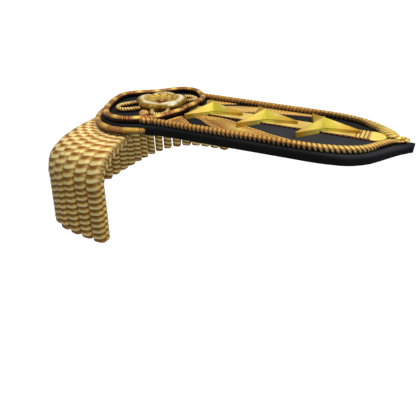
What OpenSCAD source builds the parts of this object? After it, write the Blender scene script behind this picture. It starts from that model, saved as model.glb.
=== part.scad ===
// Fringed shoulder board: a black padded board with gold cords, a five-petal
// rosette, three metal stars and a bullion fringe round its outer end.
// X runs along the board towards its point, Y across the shoulder, Z up.
// The origin lies on the underside of the board, below the middle star.
// All sizes are in millimetres.

/* [Board] */
// Thickness of the padded board
board_thick = 4.9; // [3:0.1:6]
// How far the top falls from the middle line to the edge cord
crown_drop = 1.6; // [0:0.1:3]
// Share of that fall which the underside follows near the point
crown_under = 0.65; // [0:0.05:1]
// Radius of the soft upper edge
board_edge_r = 1.6; // [0.8:0.1:2]
// X position of the middle of the round end
round_x = -69.3; // [-74:0.1:-64]
// Length of the round end from its middle to its outer edge
round_a = 27.2; // [24:0.1:32]
// Half width of the round end
round_b = 37.8; // [34:0.1:42]

/* [Edge cord] */
// Radius of the twisted cord along the strap edge
edge_cord_r = 1.7; // [1.2:0.05:2.2]
// X position of its front end, beside the lobed cord
edge_start_front = -55; // [-58:0.1:-50]
// X position of its back end, beside the lobed cord
edge_start_back = -51.8; // [-56:0.1:-48]

/* [Lobed cord] */
// Radius of the closed cord round the rosette
lobed_cord_r = 1.9; // [1.4:0.05:2.4]

/* [Outer cord] */
// Radius of the cord on the rim of the round end
outer_cord_r = 1.7; // [1.4:0.05:2.4]
// Depth of its middle line below the top of the board
outer_cord_low = 3.1; // [2:0.1:4]
// X position of its two blunt ends
outer_cord_start = -54; // [-58:0.5:-50]

/* [Lace and leaves] */
// Half width of the middle strip
strip_half = 6; // [4:0.1:8]
// Thickness of the middle strip
strip_thick = 0.75; // [0.5:0.05:1.2]
// X position of the pointed end of the strip
strip_tip = 60.3; // [56:0.1:63]
// Thickness of the embroidered leaves
leaf_thick = 0.6; // [0.4:0.05:1]

/* [Stars] */
// Tip radius of a star
star_r = 18; // [16:0.1:20]
// Radius at the notch between two tips
star_notch_r = 4.3; // [3.5:0.1:6]
// Height of the star apex above its rim
star_rise = 4; // [2.5:0.1:5]
// Height of the star rim above the board
star_rim_up = 2.2; // [1.6:0.1:4]
// Distance from star to star
star_pitch = 30.5; // [28:0.1:34]
// Width of a blunt tip
star_tip_w = 0.8; // [0.4:0.1:1.5]

/* [Rosette] */
// X position of the rosette
rosette_x = -64.8; // [-68:0.1:-62]
// Outer radius of the petals
rosette_r = 15.5; // [13:0.1:17]
// Number of petals
petals = 5; // [5:1:6]
// Height of the petal ridge above the board
petal_up = 4.5; // [3:0.1:6]
// Radius of the middle button
button_r = 2.2; // [1.6:0.1:3]

/* [Small cord loops] */
// Radius of the small twisted cord
loop_r = 1.3; // [0.8:0.05:1.6]

/* [Fringe] */
// Number of strands
strands = 26; // [22:1:30]
// Radius of a hanging strand
strand_r = 3.65; // [3:0.05:4.5]
// Height of the strand ends
strand_end_z = -47; // [-60:0.1:-30]
// Height of the strand roots
root_z = -3.6; // [-6:0.1:-3]
// X position of the open side of the fringe
fringe_x = -60.2; // [-64:0.1:-54]
// Reach of the fringe from there to its outer side
fringe_a = 46; // [40:0.1:52]
// Half width of the fringe
fringe_b = 70.2; // [60:0.1:80]
// Squareness of the front corner of the fringe
square_front = 4.1; // [2:0.05:5]
// Squareness of the back corner of the fringe
square_back = 2.9; // [2:0.05:5]
// Height that a strand falls through while it bends
bend_drop = 17; // [8:0.5:30]
// Squareness of that bend
bend_square = 2.8; // [2:0.1:4]
// Share of its reach that a strand has at the end of the bend
bend_reach = 0.93; // [0.8:0.01:1]
// Extra length of the back row towards the point of the board
back_run = 4; // [0:0.5:12]

/* [Output] */
// Piece to draw

/* [Hidden] */
gap = 0.06;
crown_half = 25.2;
end_share = 0.51;

// Board outline right of the round end, one row: x, half width
STRAP = [
    [-69.3, 37.8], [-63, 37.0], [-57.6, 35.2], [-54, 33.5], [-50.4, 31.8], [-46.8, 30.7],
    [-43, 30.2], [-22, 29.4], [-1, 28.6], [18, 27.9], [28, 27.6], [37, 27.3],
    [41.4, 27.0], [45.4, 26.4], [49.3, 25.0], [52.9, 22.6], [56.7, 19.3], [60.1, 14.9],
    [63.7, 9.7], [67.5, 5.1], [71.2, 1.5], [72.4, 0.6]];

// Middle line of the edge cord, one row: x, distance from the middle of the board
EDGE = [
    [-60, 28.1], [-30, 27.1], [0, 26.1], [28, 25.2], [36, 24.3], [40, 23.3],
    [44, 22.2], [48, 20.4], [52, 17.8], [55, 14.8], [58, 10.9], [60, 8.2],
    [62, 5.6], [64, 3.6], [66, 2.3], [67.6, 1.5]];

// Middle line of the lobed cord all the way round, one row: x, y
LOBED = [
    [-93.8, 0], [-93, -6], [-91.8, -11], [-89.8, -16.8], [-87.4, -22.2], [-84.4, -26.6],
    [-80.8, -30.6], [-76.4, -33.6], [-71, -35], [-65.6, -34.6], [-60.6, -32.4], [-56.4, -28.6],
    [-52.6, -23.6], [-49, -18.2], [-45.8, -12], [-43.6, -6], [-42.7, 0], [-43.8, 6.4],
    [-45.3, 12.4], [-47, 18.2], [-50.4, 24.4], [-55.4, 29.6], [-61.2, 32.8], [-66.8, 33.2],
    [-71.2, 31.1], [-74.8, 27.1], [-78.1, 22.6], [-82, 18], [-86.2, 13.3], [-90, 8.7],
    [-92.6, 4.6]];

// Long leaf, one row: x, edge towards the middle, edge towards the cord
LEAF_1 = [
    [-37.8, 11, 11.4], [-31.9, 8.3, 13.2], [-25.2, 7.2, 17.6], [-17.1, 7.8, 21.6],
    [-10, 10.4, 24.5], [-2.7, 13, 24.2], [3.6, 14.9, 24], [9, 16.7, 23.8],
    [14.4, 18, 23.6], [20.7, 19.4, 23.4], [27, 22.6, 23.2]];

// Short leaf, one row: x, edge towards the middle, edge towards the cord
LEAF_2 = [
    [-48.3, 22.8, 25.4], [-45.4, 16.6, 25.6], [-43.2, 13.2, 25.6], [-41.2, 14.4, 25.5],
    [-34.2, 19.8, 25.2], [-28.8, 24.4, 24.9]];

// Section of a petal from its foot to the middle, one row: share of radius, share of height
PETAL = [
    [0.06, 0], [0.83, 0], [0.93, 0.18], [1.00, 0.5], [0.96, 0.82], [0.85, 0.97], [0.72, 1],
    [0.58, 0.84], [0.42, 0.6], [0.2, 0.46]];

// Small loops, one row: direction, length, half width at the rosette, half width outside
LOOP_LEFT = [226, 26, 5.6, 4.6];
LOOP_FRONT = [300, 21.5, 4.4, 4.4];
LOOP_BACK = [61, 23.2, 5.4, 5.4];

function clamp01(t) = min(1, max(0, t));
function smooth(t) = let(c = clamp01(t)) c * c * (3 - 2 * c);
function row_of(T, x, i = 0) = i >= len(T) - 2 || x < T[i + 1][0] ? i : row_of(T, x, i + 1);
function slope(T, i, c) =
    let(a = max(0, i - 1), b = min(len(T) - 1, i + 1))
    (T[b][c] - T[a][c]) / (T[b][0] - T[a][0]);
function along(T, x, c = 1) =
    let(i = row_of(T, x), h = T[i + 1][0] - T[i][0], t = (x - T[i][0]) / h)
    (2 * t * t * t - 3 * t * t + 1) * T[i][c] + (t * t * t - 2 * t * t + t) * h * slope(T, i, c)
    + (3 * t * t - 2 * t * t * t) * T[i + 1][c] + (t * t * t - t * t) * h * slope(T, i + 1, c);

// Half width of the board and height of its top
function half_at(x) =
    x < round_x ? round_b * sqrt(max(0, 1 - pow((x - round_x) / round_a, 2))) : along(STRAP, x);
function cord_y(x) = along(EDGE, x);
function crown_at(x) = min(crown_half, max(2, cord_y(x)));
function crown_end(x) = end_share + (1 - end_share) * smooth((x + 58) / 8);
function crown_deep(x) = crown_drop * (1 - 0.55 * smooth((x - 50) / 18));
function fall_at(x, y) = crown_deep(x) * min(crown_end(x), pow(y / crown_at(x), 2));
function top_at(x, y) = board_thick - fall_at(x, y);
function low_share(x) = 1 - (1 - crown_under) * smooth((x - 30) / 20);
function low_at(x, y) = -low_share(x) * fall_at(x, y) + 0.5 * smooth((x - 62) / 8);

// Closed skin from rings of equal length, each quad cut in two
module skin(rings, closed = false) {
    n = len(rings);
    m = len(rings[0]);
    last = closed ? n : n - 1;
    points = [for (r = rings) for (p = r) p];
    sides = [for (i = [0:last - 1]) for (j = [0:m - 1])
        let(a = i * m + j, b = i * m + (j + 1) % m,
            c = ((i + 1) % n) * m + (j + 1) % m, d = ((i + 1) % n) * m + j)
        each [[a, b, c], [a, c, d]]];
    caps = closed ? [] : [[for (j = [m - 1:-1:0]) j], [for (j = [0:m - 1]) (n - 1) * m + j]];
    polyhedron(points, concat(sides, caps), convexity = 8);
}

function unit(v) = v / max(1e-9, norm(v));
function tangent(path, i, closed) =
    let(n = len(path))
    closed ? unit(path[(i + 1) % n] - path[(i + n - 1) % n])
    : unit(path[min(n - 1, i + 1)] - path[max(0, i - 1)]);
function oval(c, t, s, rs, ru, sides) =
    let(u = cross(t, s))
    [for (j = [0:sides - 1]) let(a = 360 * (j + 0.5) / sides) c + rs * cos(a) * s - ru * sin(a) * u];
function ring(c, t, s, r, sides) = oval(c, t, s, r, r, sides);

// Cord along a path that lies nearly flat
module cord(path, radii, sides = 8, closed = false) {
    skin([for (i = [0:len(path) - 1])
        let(t = tangent(path, i, closed), s = unit(cross([0, 0, 1], t)))
        ring(path[i], t, s, radii[min(i, len(radii) - 1)], sides)], closed);
}

// Board
function end_drop(x) =
    let(d = min(x - (round_x - round_a), STRAP[len(STRAP) - 1][0] - x), e = board_edge_r)
    d < e ? e - sqrt(max(0, e * e - (e - d) * (e - d))) : 0;
function board_ring(x) =
    let(w = max(0.6, half_at(x)), e = min(board_edge_r, w * 0.5), c = min(0.7, w * 0.3),
        f = end_drop(x), k = min((w - e) * 0.9, crown_at(x) * sqrt(crown_end(x))),
        row = [-k, -k / 2, 0, k / 2, k],
        top = [for (y = concat([e - w], row, [w - e])) [x, y, top_at(x, y) - f]],
        zt = top_at(x, w - e) - f, zb = low_at(x, w - c),
        right = [for (a = [30, 60]) [x, w - e + e * sin(a), zt - e * (1 - cos(a))]],
        side = [[x, w, zt - e], [x, w, zb + c]],
        under = [for (y = concat([c - w], row, [w - c])) [x, -y, low_at(x, y)]],
        left = [for (a = [60, 30]) [x, -w + e - e * sin(a), zt - e * (1 - cos(a))]])
    concat(top, right, side, under, [[x, -w, zb + c], [x, -w, zt - e]], left);
board_x = concat(
    [for (a = [5, 10, 16, 23, 31, 40, 50, 60, 70, 80]) round_x - round_a * cos(a)],
    [for (i = [0:8]) round_x + i * 3.3],
    [-39, -29, -19, -9, 1, 11, 21, 29, 35],
    [for (i = [0:10]) 39.5 + i * 3], [71, 71.9, 72.4]);
module board() color([0.06, 0.06, 0.065]) skin([for (x = board_x) board_ring(x)]);

// Lobed cord: closed loop that climbs over the middle strip
function lobed_lift(x, y) = x > -56 ? (strip_thick + gap) * smooth((10 - abs(y)) / 3) : 0;
function lobed_mid(i) =
    let(n = len(LOBED), p = LOBED[(i + n - 1) % n], b = LOBED[i], c = LOBED[(i + 1) % n],
        q = LOBED[(i + 2) % n])
    (9 * (b + c) - p - q) / 16;
lobed_plan = [for (i = [0:len(LOBED) - 1]) each [LOBED[i], lobed_mid(i)]];
lobed_path = [for (p = lobed_plan)
    [p[0], p[1], top_at(p[0], p[1]) + lobed_cord_r + gap + lobed_lift(p[0], p[1])]];
module lobed_cord() color([0.88, 0.68, 0.25]) cord(lobed_path, [lobed_cord_r], 8, true);

// Edge cord: front arm to the point and back along the other arm
function edge_thin(x) = edge_cord_r * (1 - 0.4 * smooth((x - 60) / 7));
function edge_out(x, side) =
    let(d = max(0, (side < 0 ? edge_start_front : edge_start_back) + 4.5 - x)) 1.1 * d * smooth(d / 2.5);
function edge_spot(x, side) =
    [x, side * (cord_y(x) + edge_out(x, side)),
        top_at(x, cord_y(x)) + edge_thin(x) + gap + 0.12 * smooth((x - 54) / 4) + 0.12 * smooth((x - 60) / 3)];
edge_x = concat([for (i = [1:8]) -52.5 + i * 10.5], [35.2, 38.5, 41.5, 44.5, 47.5, 50, 52.3, 54.3],
    [56.2, 57.9, 59.5, 61, 62.5, 64.2, 66, 67.6]);
edge_point = [68.9, 0, edge_spot(67.6, 1)[2] + 0.15];
edge_ends = [0, 1.1, 2.1, 3.1, 4.2, 5.6];
edge_path = concat([for (d = edge_ends) edge_spot(edge_start_front + d, -1)],
    [for (x = edge_x) edge_spot(x, -1)], [edge_point],
    [for (i = [len(edge_x) - 1:-1:0]) edge_spot(edge_x[i], 1)],
    [for (i = [len(edge_ends) - 1:-1:0]) edge_spot(edge_start_back + edge_ends[i], 1)]);
edge_last = len(edge_path) - 1;
edge_radii = [for (i = [0:edge_last]) i == 0 || i == edge_last ? 1.1 : edge_thin(edge_path[i][0])];
module edge_cord() color([0.83, 0.62, 0.22]) cord(edge_path, edge_radii);

// Outer cord on the side of the round end
function edge_slope(x) = (half_at(x + 0.2) - half_at(x - 0.2)) / 0.4;
function rim_spot(x, side, out, z) =
    let(s = edge_slope(x), q = sqrt(1 + s * s)) [x - out * s / q, side * (half_at(x) + out / q), z];
outer_out = outer_cord_r + 0.12;
outer_line = concat(
    [for (i = [0:6]) rim_spot(outer_cord_start + (round_x - outer_cord_start) * i / 6,
        -1, outer_out, board_thick - outer_cord_low)],
    [for (a = [82:-8:2])
        let(p = [round_x - round_a * cos(a), -round_b * sin(a)],
            d = unit([-round_b * cos(a), -round_a * sin(a)]))
        [p[0] + outer_out * d[0], p[1] + outer_out * d[1], board_thick - outer_cord_low]]);
outer_path = concat(outer_line,
    [for (i = [len(outer_line) - 1:-1:0]) [outer_line[i][0], -outer_line[i][1], board_thick - outer_cord_low]]);
outer_tip = [outer_path[0][0] + 0.8, outer_path[0][1], outer_path[0][2]];
outer_tips = [outer_tip, [outer_tip[0], -outer_tip[1], outer_tip[2]]];
module outer_cord() color([0.85, 0.64, 0.2])
    cord(concat([outer_tips[0]], outer_path, [outer_tips[1]]),
        [for (i = [0:len(outer_path) + 1]) outer_cord_r * (i == 0 || i == len(outer_path) + 1 ? 0.6 : 1)]);

// Layer that follows the crown of the board, between two heights above its top
module crown_layer(low, high, half, x0, x1) {
    n = 12;
    section = concat(
        [for (j = [0:n]) let(y = half * (2 * j / n - 1)) [y, top_at(0, y) + low]],
        [for (j = [n:-1:0]) let(y = half * (2 * j / n - 1)) [y, top_at(0, y) + high]]);
    translate([x0, 0, 0]) rotate([90, 0, 90]) linear_extrude(x1 - x0) polygon(section);
}

// Outline of a star seen from above
function star_corner(k) =
    let(a = 120 * k, c = star_r * [cos(a), sin(a)], s = star_tip_w / 2 * [-sin(a), cos(a)])
    [c - s, c + s, star_notch_r * [cos(a + 60), sin(a + 60)]];
star_outline = [for (k = [0:2]) each star_corner(k)];
function star_x(i) = (i - 2) * star_pitch;
module star_prints(grow) {
    for (i = [1:3]) translate([star_x(i), 0]) offset(delta = grow) polygon(star_outline);
}

// Middle strip with a pointed end
strip_start = -50.1;
strip_plan = let(h = strip_half, t = strip_tip) [
    [strip_start, -h], [t - 5.6, -h], [t - 3.6, -h * 0.88], [t - 1.5, -h * 0.5], [t, 0],
    [t - 1.5, h * 0.5], [t - 3.6, h * 0.88], [t - 5.6, h], [strip_start, h]];
module middle_strip() color([0.9, 0.7, 0.28]) intersection() {
    crown_layer(gap, gap + strip_thick, strip_half + 1, strip_start - 1, strip_tip + 1);
    translate([0, 0, -2]) linear_extrude(12) polygon(strip_plan);
}

// Embroidered leaf on one side, cut clear of the stars
module leaf(rows, side, ahead = 0) {
    plan = concat([for (r = rows) [r[0] + ahead, side * r[1]]],
        [for (i = [len(rows) - 1:-1:0]) [rows[i][0] + ahead, side * rows[i][2]]]);
    intersection() {
        crown_layer(gap, gap + leaf_thick, 27, -60, 40);
        translate([0, 0, -2]) linear_extrude(12) difference() {
            polygon(plan);
            star_prints(0.25);
        }
    }
}
module leaf_front_1() color([0.87, 0.67, 0.25]) leaf(LEAF_1, -1);
module leaf_front_2() color([0.87, 0.67, 0.25]) leaf(LEAF_2, -1);
module leaf_back_1() color([0.87, 0.67, 0.25]) leaf(LEAF_1, 1);
module leaf_back_2() color([0.87, 0.67, 0.25]) leaf(LEAF_2, 1, 2);

// Star: faceted top, upright wall, underside cut to the board and to the strip
module star_body() {
    m = len(star_outline);
    rim = [for (p = star_outline) [p[0], p[1], board_thick + star_rim_up]];
    foot = [for (p = star_outline) [p[0], p[1], 2]];
    tops = [for (j = [0:m - 1]) [2 * m, (j + 1) % m, j]];
    walls = [for (j = [0:m - 1]) each [[j, (j + 1) % m, m + (j + 1) % m], [j, m + (j + 1) % m, m + j]]];
    polyhedron(concat(rim, foot, [[0, 0, board_thick + star_rim_up + star_rise]]),
        concat(tops, walls, [[for (j = [0:m - 1]) m + j]]), convexity = 4);
}
module star_at(i) translate([star_x(i), 0, 0]) difference() {
    star_body();
    crown_layer(-8, gap, 22, -20, 25);
    crown_layer(-8, 2 * gap + strip_thick, strip_half + 0.15, -20, 25);
}
module star_1() color([0.93, 0.85, 0.3]) star_at(1);
module star_2() color([0.93, 0.85, 0.3]) star_at(2);
module star_3() color([0.93, 0.85, 0.3]) star_at(3);

// Rosette
petal_turn = 8;
function petal_wave(a) = let(u = abs(cos(petals * (a - petal_turn) / 2 + 90))) pow(u, 0.55);
function petal_ring(a, row, k) =
    let(w = petal_wave(a), r = rosette_r * row[0] * (k < 8 ? 0.88 + 0.12 * w : 1),
        x = rosette_x + r * cos(a), y = r * sin(a),
        z = k < 2 ? top_at(x, y) + 2.5 * gap
            : board_thick + row[1] * petal_up - (k > 2 && k < 8 ? 0.9 * (1 - w) : 0))
    [x, y, z];
module rosette() color([0.85, 0.72, 0.25]) {
    n = petals * 8;
    skin([for (k = [0:len(PETAL) - 1]) [for (j = [0:n - 1]) petal_ring(-360 * j / n, PETAL[k], k)]]);
}
module rosette_button() color([0.8, 0.55, 0.2]) translate([rosette_x, 0, board_thick + 0.46 * petal_up + gap]) {
    n = 12;
    rows = [[1, 0], [1, 0.5], [0.75, 1.1], [0.35, 1.4]];
    skin([for (r = rows) [for (j = [0:n - 1]) let(a = -360 * j / n)
        [button_r * r[0] * cos(a), button_r * r[0] * sin(a), r[1]]]]);
}

// Small hairpin loops and short tails that come out from under the rosette
function loop_flat(L) =
    let(r0 = rosette_r + 0.2, len1 = L[1] - L[3])
    concat([[r0 - 0.3, L[2]], [(r0 + len1) / 2, (L[2] + L[3]) / 2]],
        [for (a = [90:-22.5:-90]) [len1 + L[3] * cos(a) * 0.95, L[3] * sin(a)]],
        [[(r0 + len1) / 2, -(L[2] + L[3]) / 2], [r0 - 0.3, -L[2]]]);
function turned(p, a) = [rosette_x + p[0] * cos(a) - p[1] * sin(a), p[0] * sin(a) + p[1] * cos(a)];
module small_loop(L) {
    plan = [for (p = loop_flat(L)) turned(p, L[0])];
    cord([for (p = plan) [p[0], p[1], top_at(p[0], p[1]) + loop_r + gap]], [loop_r], 6);
}
module loop_left() color([0.85, 0.62, 0.22]) small_loop(LOOP_LEFT);
module loop_front() color([0.85, 0.62, 0.22]) small_loop(LOOP_FRONT);
module loop_back() color([0.85, 0.62, 0.22]) small_loop(LOOP_BACK);

// Tail: a short flat lozenge of cord, one row: distance from the rosette middle, half width
TAIL = [[15.6, 1.2], [17, 2.7], [18.7, 2.9], [20.4, 1.8], [21.6, 0.5]];
tail_dir = 270;
module tail() color([0.85, 0.62, 0.22]) {
    rings = [for (t = TAIL)
        let(q = turned([t[0], 0], tail_dir), d = turned([t[0], 1], tail_dir) - q,
            z = top_at(q[0], q[1]) + gap)
        [for (s = [[-1, 0], [-0.8, 1.3], [0, 1.9], [0.8, 1.3], [1, 0]])
            [q[0] + d[0] * s[0] * t[1], q[1] + d[1] * s[0] * t[1], z + s[1] * t[1] / 2.5]]];
    skin(rings);
}

// Fringe: strands fused to a head band under the rim
function signed_pow(v, e) = sign(v) * pow(abs(v), e);
function fringe_spot(a) =
    let(n = sin(a) < 0 ? square_front : square_back)
    [fringe_x - fringe_a * pow(abs(cos(a)), 2 / n), fringe_b * signed_pow(sin(a), 2 / n)];
root_in = 5;
root_first = 80;
function head_spot(f, out) = let(a = -root_first - f * (360 - 2 * root_first))
    [round_x + (round_a - root_in + out) * cos(a), (round_b - root_in + out) * sin(a)];

// Even steps along a line of points
function lengths_of(p) = [for (i = 0, s = 0; i < len(p);
    s = s + (i < len(p) - 1 ? norm(p[i + 1] - p[i]) : 0), i = i + 1) s];
function step_on(l, s, i = 0) =
    i >= len(l) - 2 || l[i + 1] >= s ? i + (s - l[i]) / max(1e-6, l[i + 1] - l[i]) : step_on(l, s, i + 1);
function share_on(p, l, f) =
    let(q = step_on(l, f * l[len(l) - 1]), i = min(len(p) - 2, max(0, floor(q))))
    p[i] + (q - i) * (p[i + 1] - p[i]);
end_line = concat([for (i = [0:120]) fringe_spot(-90 + 1.5 * i)], [[fringe_x + back_run, fringe_b]]);
end_lengths = lengths_of(end_line);
root_line = [for (i = [0:120]) head_spot(i / 120, 0)];
root_lengths = lengths_of(root_line);
function bend_z(s) = root_z - bend_drop * (1 - pow(1 - pow(s, bend_square), 1 / bend_square));

// Section of a strand on its way, one row: share of reach, share of half width, share of half height
STRAND = [
    [0, 0.47, 0.5], [0.28, 0.62, 0.76], [0.53, 0.78, 0.9],
    [0.75, 0.9, 0.98], [0.91, 0.97, 1], [1, 1, 1]];
function strand_path(k) =
    let(f = k / (strands - 1), e = share_on(end_line, end_lengths, f),
        r = share_on(root_line, root_lengths, f),
        d = bend_reach * (e - r))
    concat([for (t = STRAND) [r[0] + d[0] * t[0], r[1] + d[1] * t[0], bend_z(t[0])]],
        [[e[0], e[1], strand_end_z]]);
// Half width of a strand: the table's, or less where its neighbours leave no room
function strand_half(path, beside, s, i, w) =
    min(concat([strand_r * w], [for (p = beside) 0.465 * abs((p[i] - path[i]) * s)]));
module strand(k) {
    path = strand_path(k);
    beside = [for (b = [k - 1, k + 1]) if (b >= 0 && b < strands) strand_path(b)];
    m = len(path) - 1;
    d = unit([path[m][0] - path[0][0], path[m][1] - path[0][1], 0]);
    s = cross([0, 0, 1], d);
    skin([for (i = [0:m])
        let(w = STRAND[min(i, m - 1)])
        oval(path[i], i == 0 ? d : i == m ? [0, 0, -1] : tangent(path, i, false), s,
            strand_half(path, beside, s, i, w[1]), strand_r * w[2], 8)]);
}
module head_band() {
    n = strands - 1;
    low = root_z - 2.6;
    high = low_at(-80, 40) - 0.2;
    skin([for (u = concat([-0.02], [for (k = [0:n - 1]) (k + 0.5) / n], [1.02]))
        let(f = step_on(root_lengths, u * root_lengths[120]) / 120, p = head_spot(f, -3), q = head_spot(f, 2.6))
        [[p[0], p[1], high], [q[0], q[1], high], [q[0], q[1], low], [p[0], p[1], low]]]);
}
module fringe() color([0.9, 0.72, 0.35]) union() {
    head_band();
    for (k = [0:strands - 1]) strand(k);
}

board();
edge_cord();
lobed_cord();
outer_cord();
middle_strip();
leaf_front_1();
leaf_front_2();
leaf_back_1();
leaf_back_2();
star_1();
star_2();
star_3();
rosette();
rosette_button();
loop_left();
loop_front();
loop_back();
tail();
fringe();
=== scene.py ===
import math

import bmesh
import bpy
import numpy as np
from mathutils import Matrix, Vector
from mathutils.kdtree import KDTree


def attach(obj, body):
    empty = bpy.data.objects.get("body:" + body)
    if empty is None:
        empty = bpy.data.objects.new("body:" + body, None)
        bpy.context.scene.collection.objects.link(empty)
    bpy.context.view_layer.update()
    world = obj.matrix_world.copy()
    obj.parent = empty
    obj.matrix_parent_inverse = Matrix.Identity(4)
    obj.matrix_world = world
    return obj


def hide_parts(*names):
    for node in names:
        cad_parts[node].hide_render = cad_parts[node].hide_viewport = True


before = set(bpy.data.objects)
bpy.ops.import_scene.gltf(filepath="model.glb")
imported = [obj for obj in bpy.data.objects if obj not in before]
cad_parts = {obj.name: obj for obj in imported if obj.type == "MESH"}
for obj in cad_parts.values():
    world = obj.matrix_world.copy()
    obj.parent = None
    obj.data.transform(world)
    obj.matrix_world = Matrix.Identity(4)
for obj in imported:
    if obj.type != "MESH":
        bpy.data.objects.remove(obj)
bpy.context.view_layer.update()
MM = 0.001
TURN = 2 * np.pi

# Values of part.scad, in millimetres
GAP = 0.06
BOARD_THICK, BOARD_EDGE, BOARD_TIP = 4.9, 1.6, 72.4
CROWN_DROP, CROWN_HALF, CROWN_UNDER, END_SHARE = 1.6, 25.2, 0.65, 0.51
ROUND_X, ROUND_A, ROUND_B = -69.3, 27.2, 37.8
EDGE_R, LOBED_R, LOOP_R = 1.7, 1.9, 1.3
OUTER_R, OUTER_LOW, OUTER_START = 1.7, 3.1, -54.0
STRIP_HALF, STRIP_THICK, STRIP_START, STRIP_TIP, LEAF_THICK = 6.0, 0.75, -50.1, 60.3, 0.6
STAR_R, STAR_NOTCH, STAR_PITCH, STAR_TIP = 18.0, 4.3, 30.5, 0.8
ROSETTE_X, ROSETTE_R, PETALS, PETAL_UP, PETAL_TURN, BUTTON_R = -64.8, 15.5, 5, 4.5, 8.0, 2.2
STRANDS, STRAND_R, END_Z, ROOT_Z, ROOT_IN, ROOT_FIRST = 26, 3.65, -47.0, -3.6, 5.0, 80.0
FRINGE_X, FRINGE_A, FRINGE_B, SQUARE_FRONT, SQUARE_BACK, BACK_RUN = -60.2, 46.0, 70.2, 4.1, 2.9, 4.0
BEND_DROP, BEND_SQUARE, BEND_REACH = 17.0, 2.8, 0.93

# Strap: x, half width
STRAP = np.array([
    [-69.3, 37.8], [-63, 37.0], [-57.6, 35.2], [-54, 33.5], [-50.4, 31.8], [-46.8, 30.7],
    [-43, 30.2], [-22, 29.4], [-1, 28.6], [18, 27.9], [28, 27.6], [37, 27.3],
    [41.4, 27.0], [45.4, 26.4], [49.3, 25.0], [52.9, 22.6], [56.7, 19.3], [60.1, 14.9],
    [63.7, 9.7], [67.5, 5.1], [71.2, 1.5], [72.4, 0.6]])
# Edge cord: x, distance from the middle of the strap
EDGE = np.array([
    [-60, 28.1], [-30, 27.1], [0, 26.1], [28, 25.2], [36, 24.3], [40, 23.3],
    [44, 22.2], [48, 20.4], [52, 17.8], [55, 14.8], [58, 10.9], [60, 8.2],
    [62, 5.6], [64, 3.6], [66, 2.3], [67.6, 1.5]])
# Lobed cord: x, y
LOBED = np.array([
    [-93.8, 0], [-93, -6], [-91.8, -11], [-89.8, -16.8], [-87.4, -22.2], [-84.4, -26.6],
    [-80.8, -30.6], [-76.4, -33.6], [-71, -35], [-65.6, -34.6], [-60.6, -32.4], [-56.4, -28.6],
    [-52.6, -23.6], [-49, -18.2], [-45.8, -12], [-43.6, -6], [-42.7, 0], [-43.8, 6.4],
    [-45.3, 12.4], [-47, 18.2], [-50.4, 24.4], [-55.4, 29.6], [-61.2, 32.8], [-66.8, 33.2],
    [-71.2, 31.1], [-74.8, 27.1], [-78.1, 22.6], [-82, 18], [-86.2, 13.3], [-90, 8.7], [-92.6, 4.6]])
# Leaves: x, distance of the inner and of the outer edge from the middle
LEAF_1 = np.array([
    [-37.8, 11, 11.4], [-31.9, 8.3, 13.2], [-25.2, 7.2, 17.6], [-17.1, 7.8, 21.6],
    [-10, 10.4, 24.5], [-2.7, 13, 24.2], [3.6, 14.9, 24], [9, 16.7, 23.8],
    [14.4, 18, 23.6], [20.7, 19.4, 23.4], [27, 22.6, 23.2]])
LEAF_2 = np.array([
    [-48.3, 22.8, 25.4], [-45.4, 16.6, 25.6], [-43.2, 13.2, 25.6], [-41.2, 14.4, 25.5],
    [-34.2, 19.8, 25.2], [-28.8, 24.4, 24.9]])
# Section of the petals, from the foot over the crest to the middle: share of radius, share of height
PETAL = np.array([
    [0.06, 0], [0.83, 0], [0.93, 0.18], [1.00, 0.5], [0.96, 0.82], [0.85, 0.97], [0.72, 1],
    [0.58, 0.84], [0.42, 0.6], [0.2, 0.46]])
# Loops: direction in degrees, reach from the rosette's middle, half width at the root and at the far end
LOOPS = {"loop_left": (226, 26, 5.6, 4.6), "loop_front": (300, 21.5, 4.4, 4.4),
         "loop_back": (61, 23.2, 5.4, 5.4)}
# Tail: distance from the rosette's middle, half width
TAIL = np.array([[15.6, 1.2], [17, 2.7], [18.7, 2.9], [20.4, 1.8], [21.6, 0.5]])
# Bend of a strand: share of its way out, share of its width, share of its height
STRAND = np.array([
    [0, 0.47, 0.5], [0.28, 0.62, 0.76], [0.53, 0.78, 0.9], [0.75, 0.9, 0.98], [0.91, 0.97, 1], [1, 1, 1]])


# Curves
def smooth(t):
    """Smooth step from 0 at 0 to 1 at 1."""
    c = np.clip(t, 0, 1)
    return c * c * (3 - 2 * c)


def ramp(x, start, over):
    """Smooth step from 0 at start to 1 at start + over, which may lie below it."""
    return smooth((x - start) / over)


def bell(x, middle, width, power=2):
    """1 at the middle, fading out about a width away; a higher power has a flatter top."""
    return np.exp(-((x - middle) / width) ** power)


def ripple(angle):
    """1 at whole turns of the angle, 0 half a turn from them."""
    return 0.5 + 0.5 * np.cos(angle)


def steady(value):
    """The same value at every length of a cord."""
    return lambda s: np.full_like(s, value)


def unit(v):
    return v / np.linalg.norm(v, axis=-1, keepdims=True)


def run(points):
    """Length along a row of points, at each of them."""
    return np.concatenate([[0], np.cumsum(np.linalg.norm(np.diff(points, axis=0), axis=1))])


def along(table, x, column=1):
    """Hermite curve through one column of a table, beyond its ends too."""
    x = np.asarray(x, float)
    last = len(table) - 1
    i = np.clip(np.searchsorted(table[:, 0], x, side="right") - 1, 0, last - 1)
    below, above = np.maximum(np.arange(last + 1) - 1, 0), np.minimum(np.arange(last + 1) + 1, last)
    slope = (table[above, column] - table[below, column]) / (table[above, 0] - table[below, 0])
    h = table[i + 1, 0] - table[i, 0]
    t = (x - table[i, 0]) / h
    return ((2 * t**3 - 3 * t**2 + 1) * table[i, column] + (t**3 - 2 * t**2 + t) * h * slope[i]
            + (3 * t**2 - 2 * t**3) * table[i + 1, column] + (t**3 - t**2) * h * slope[i + 1])


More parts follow.
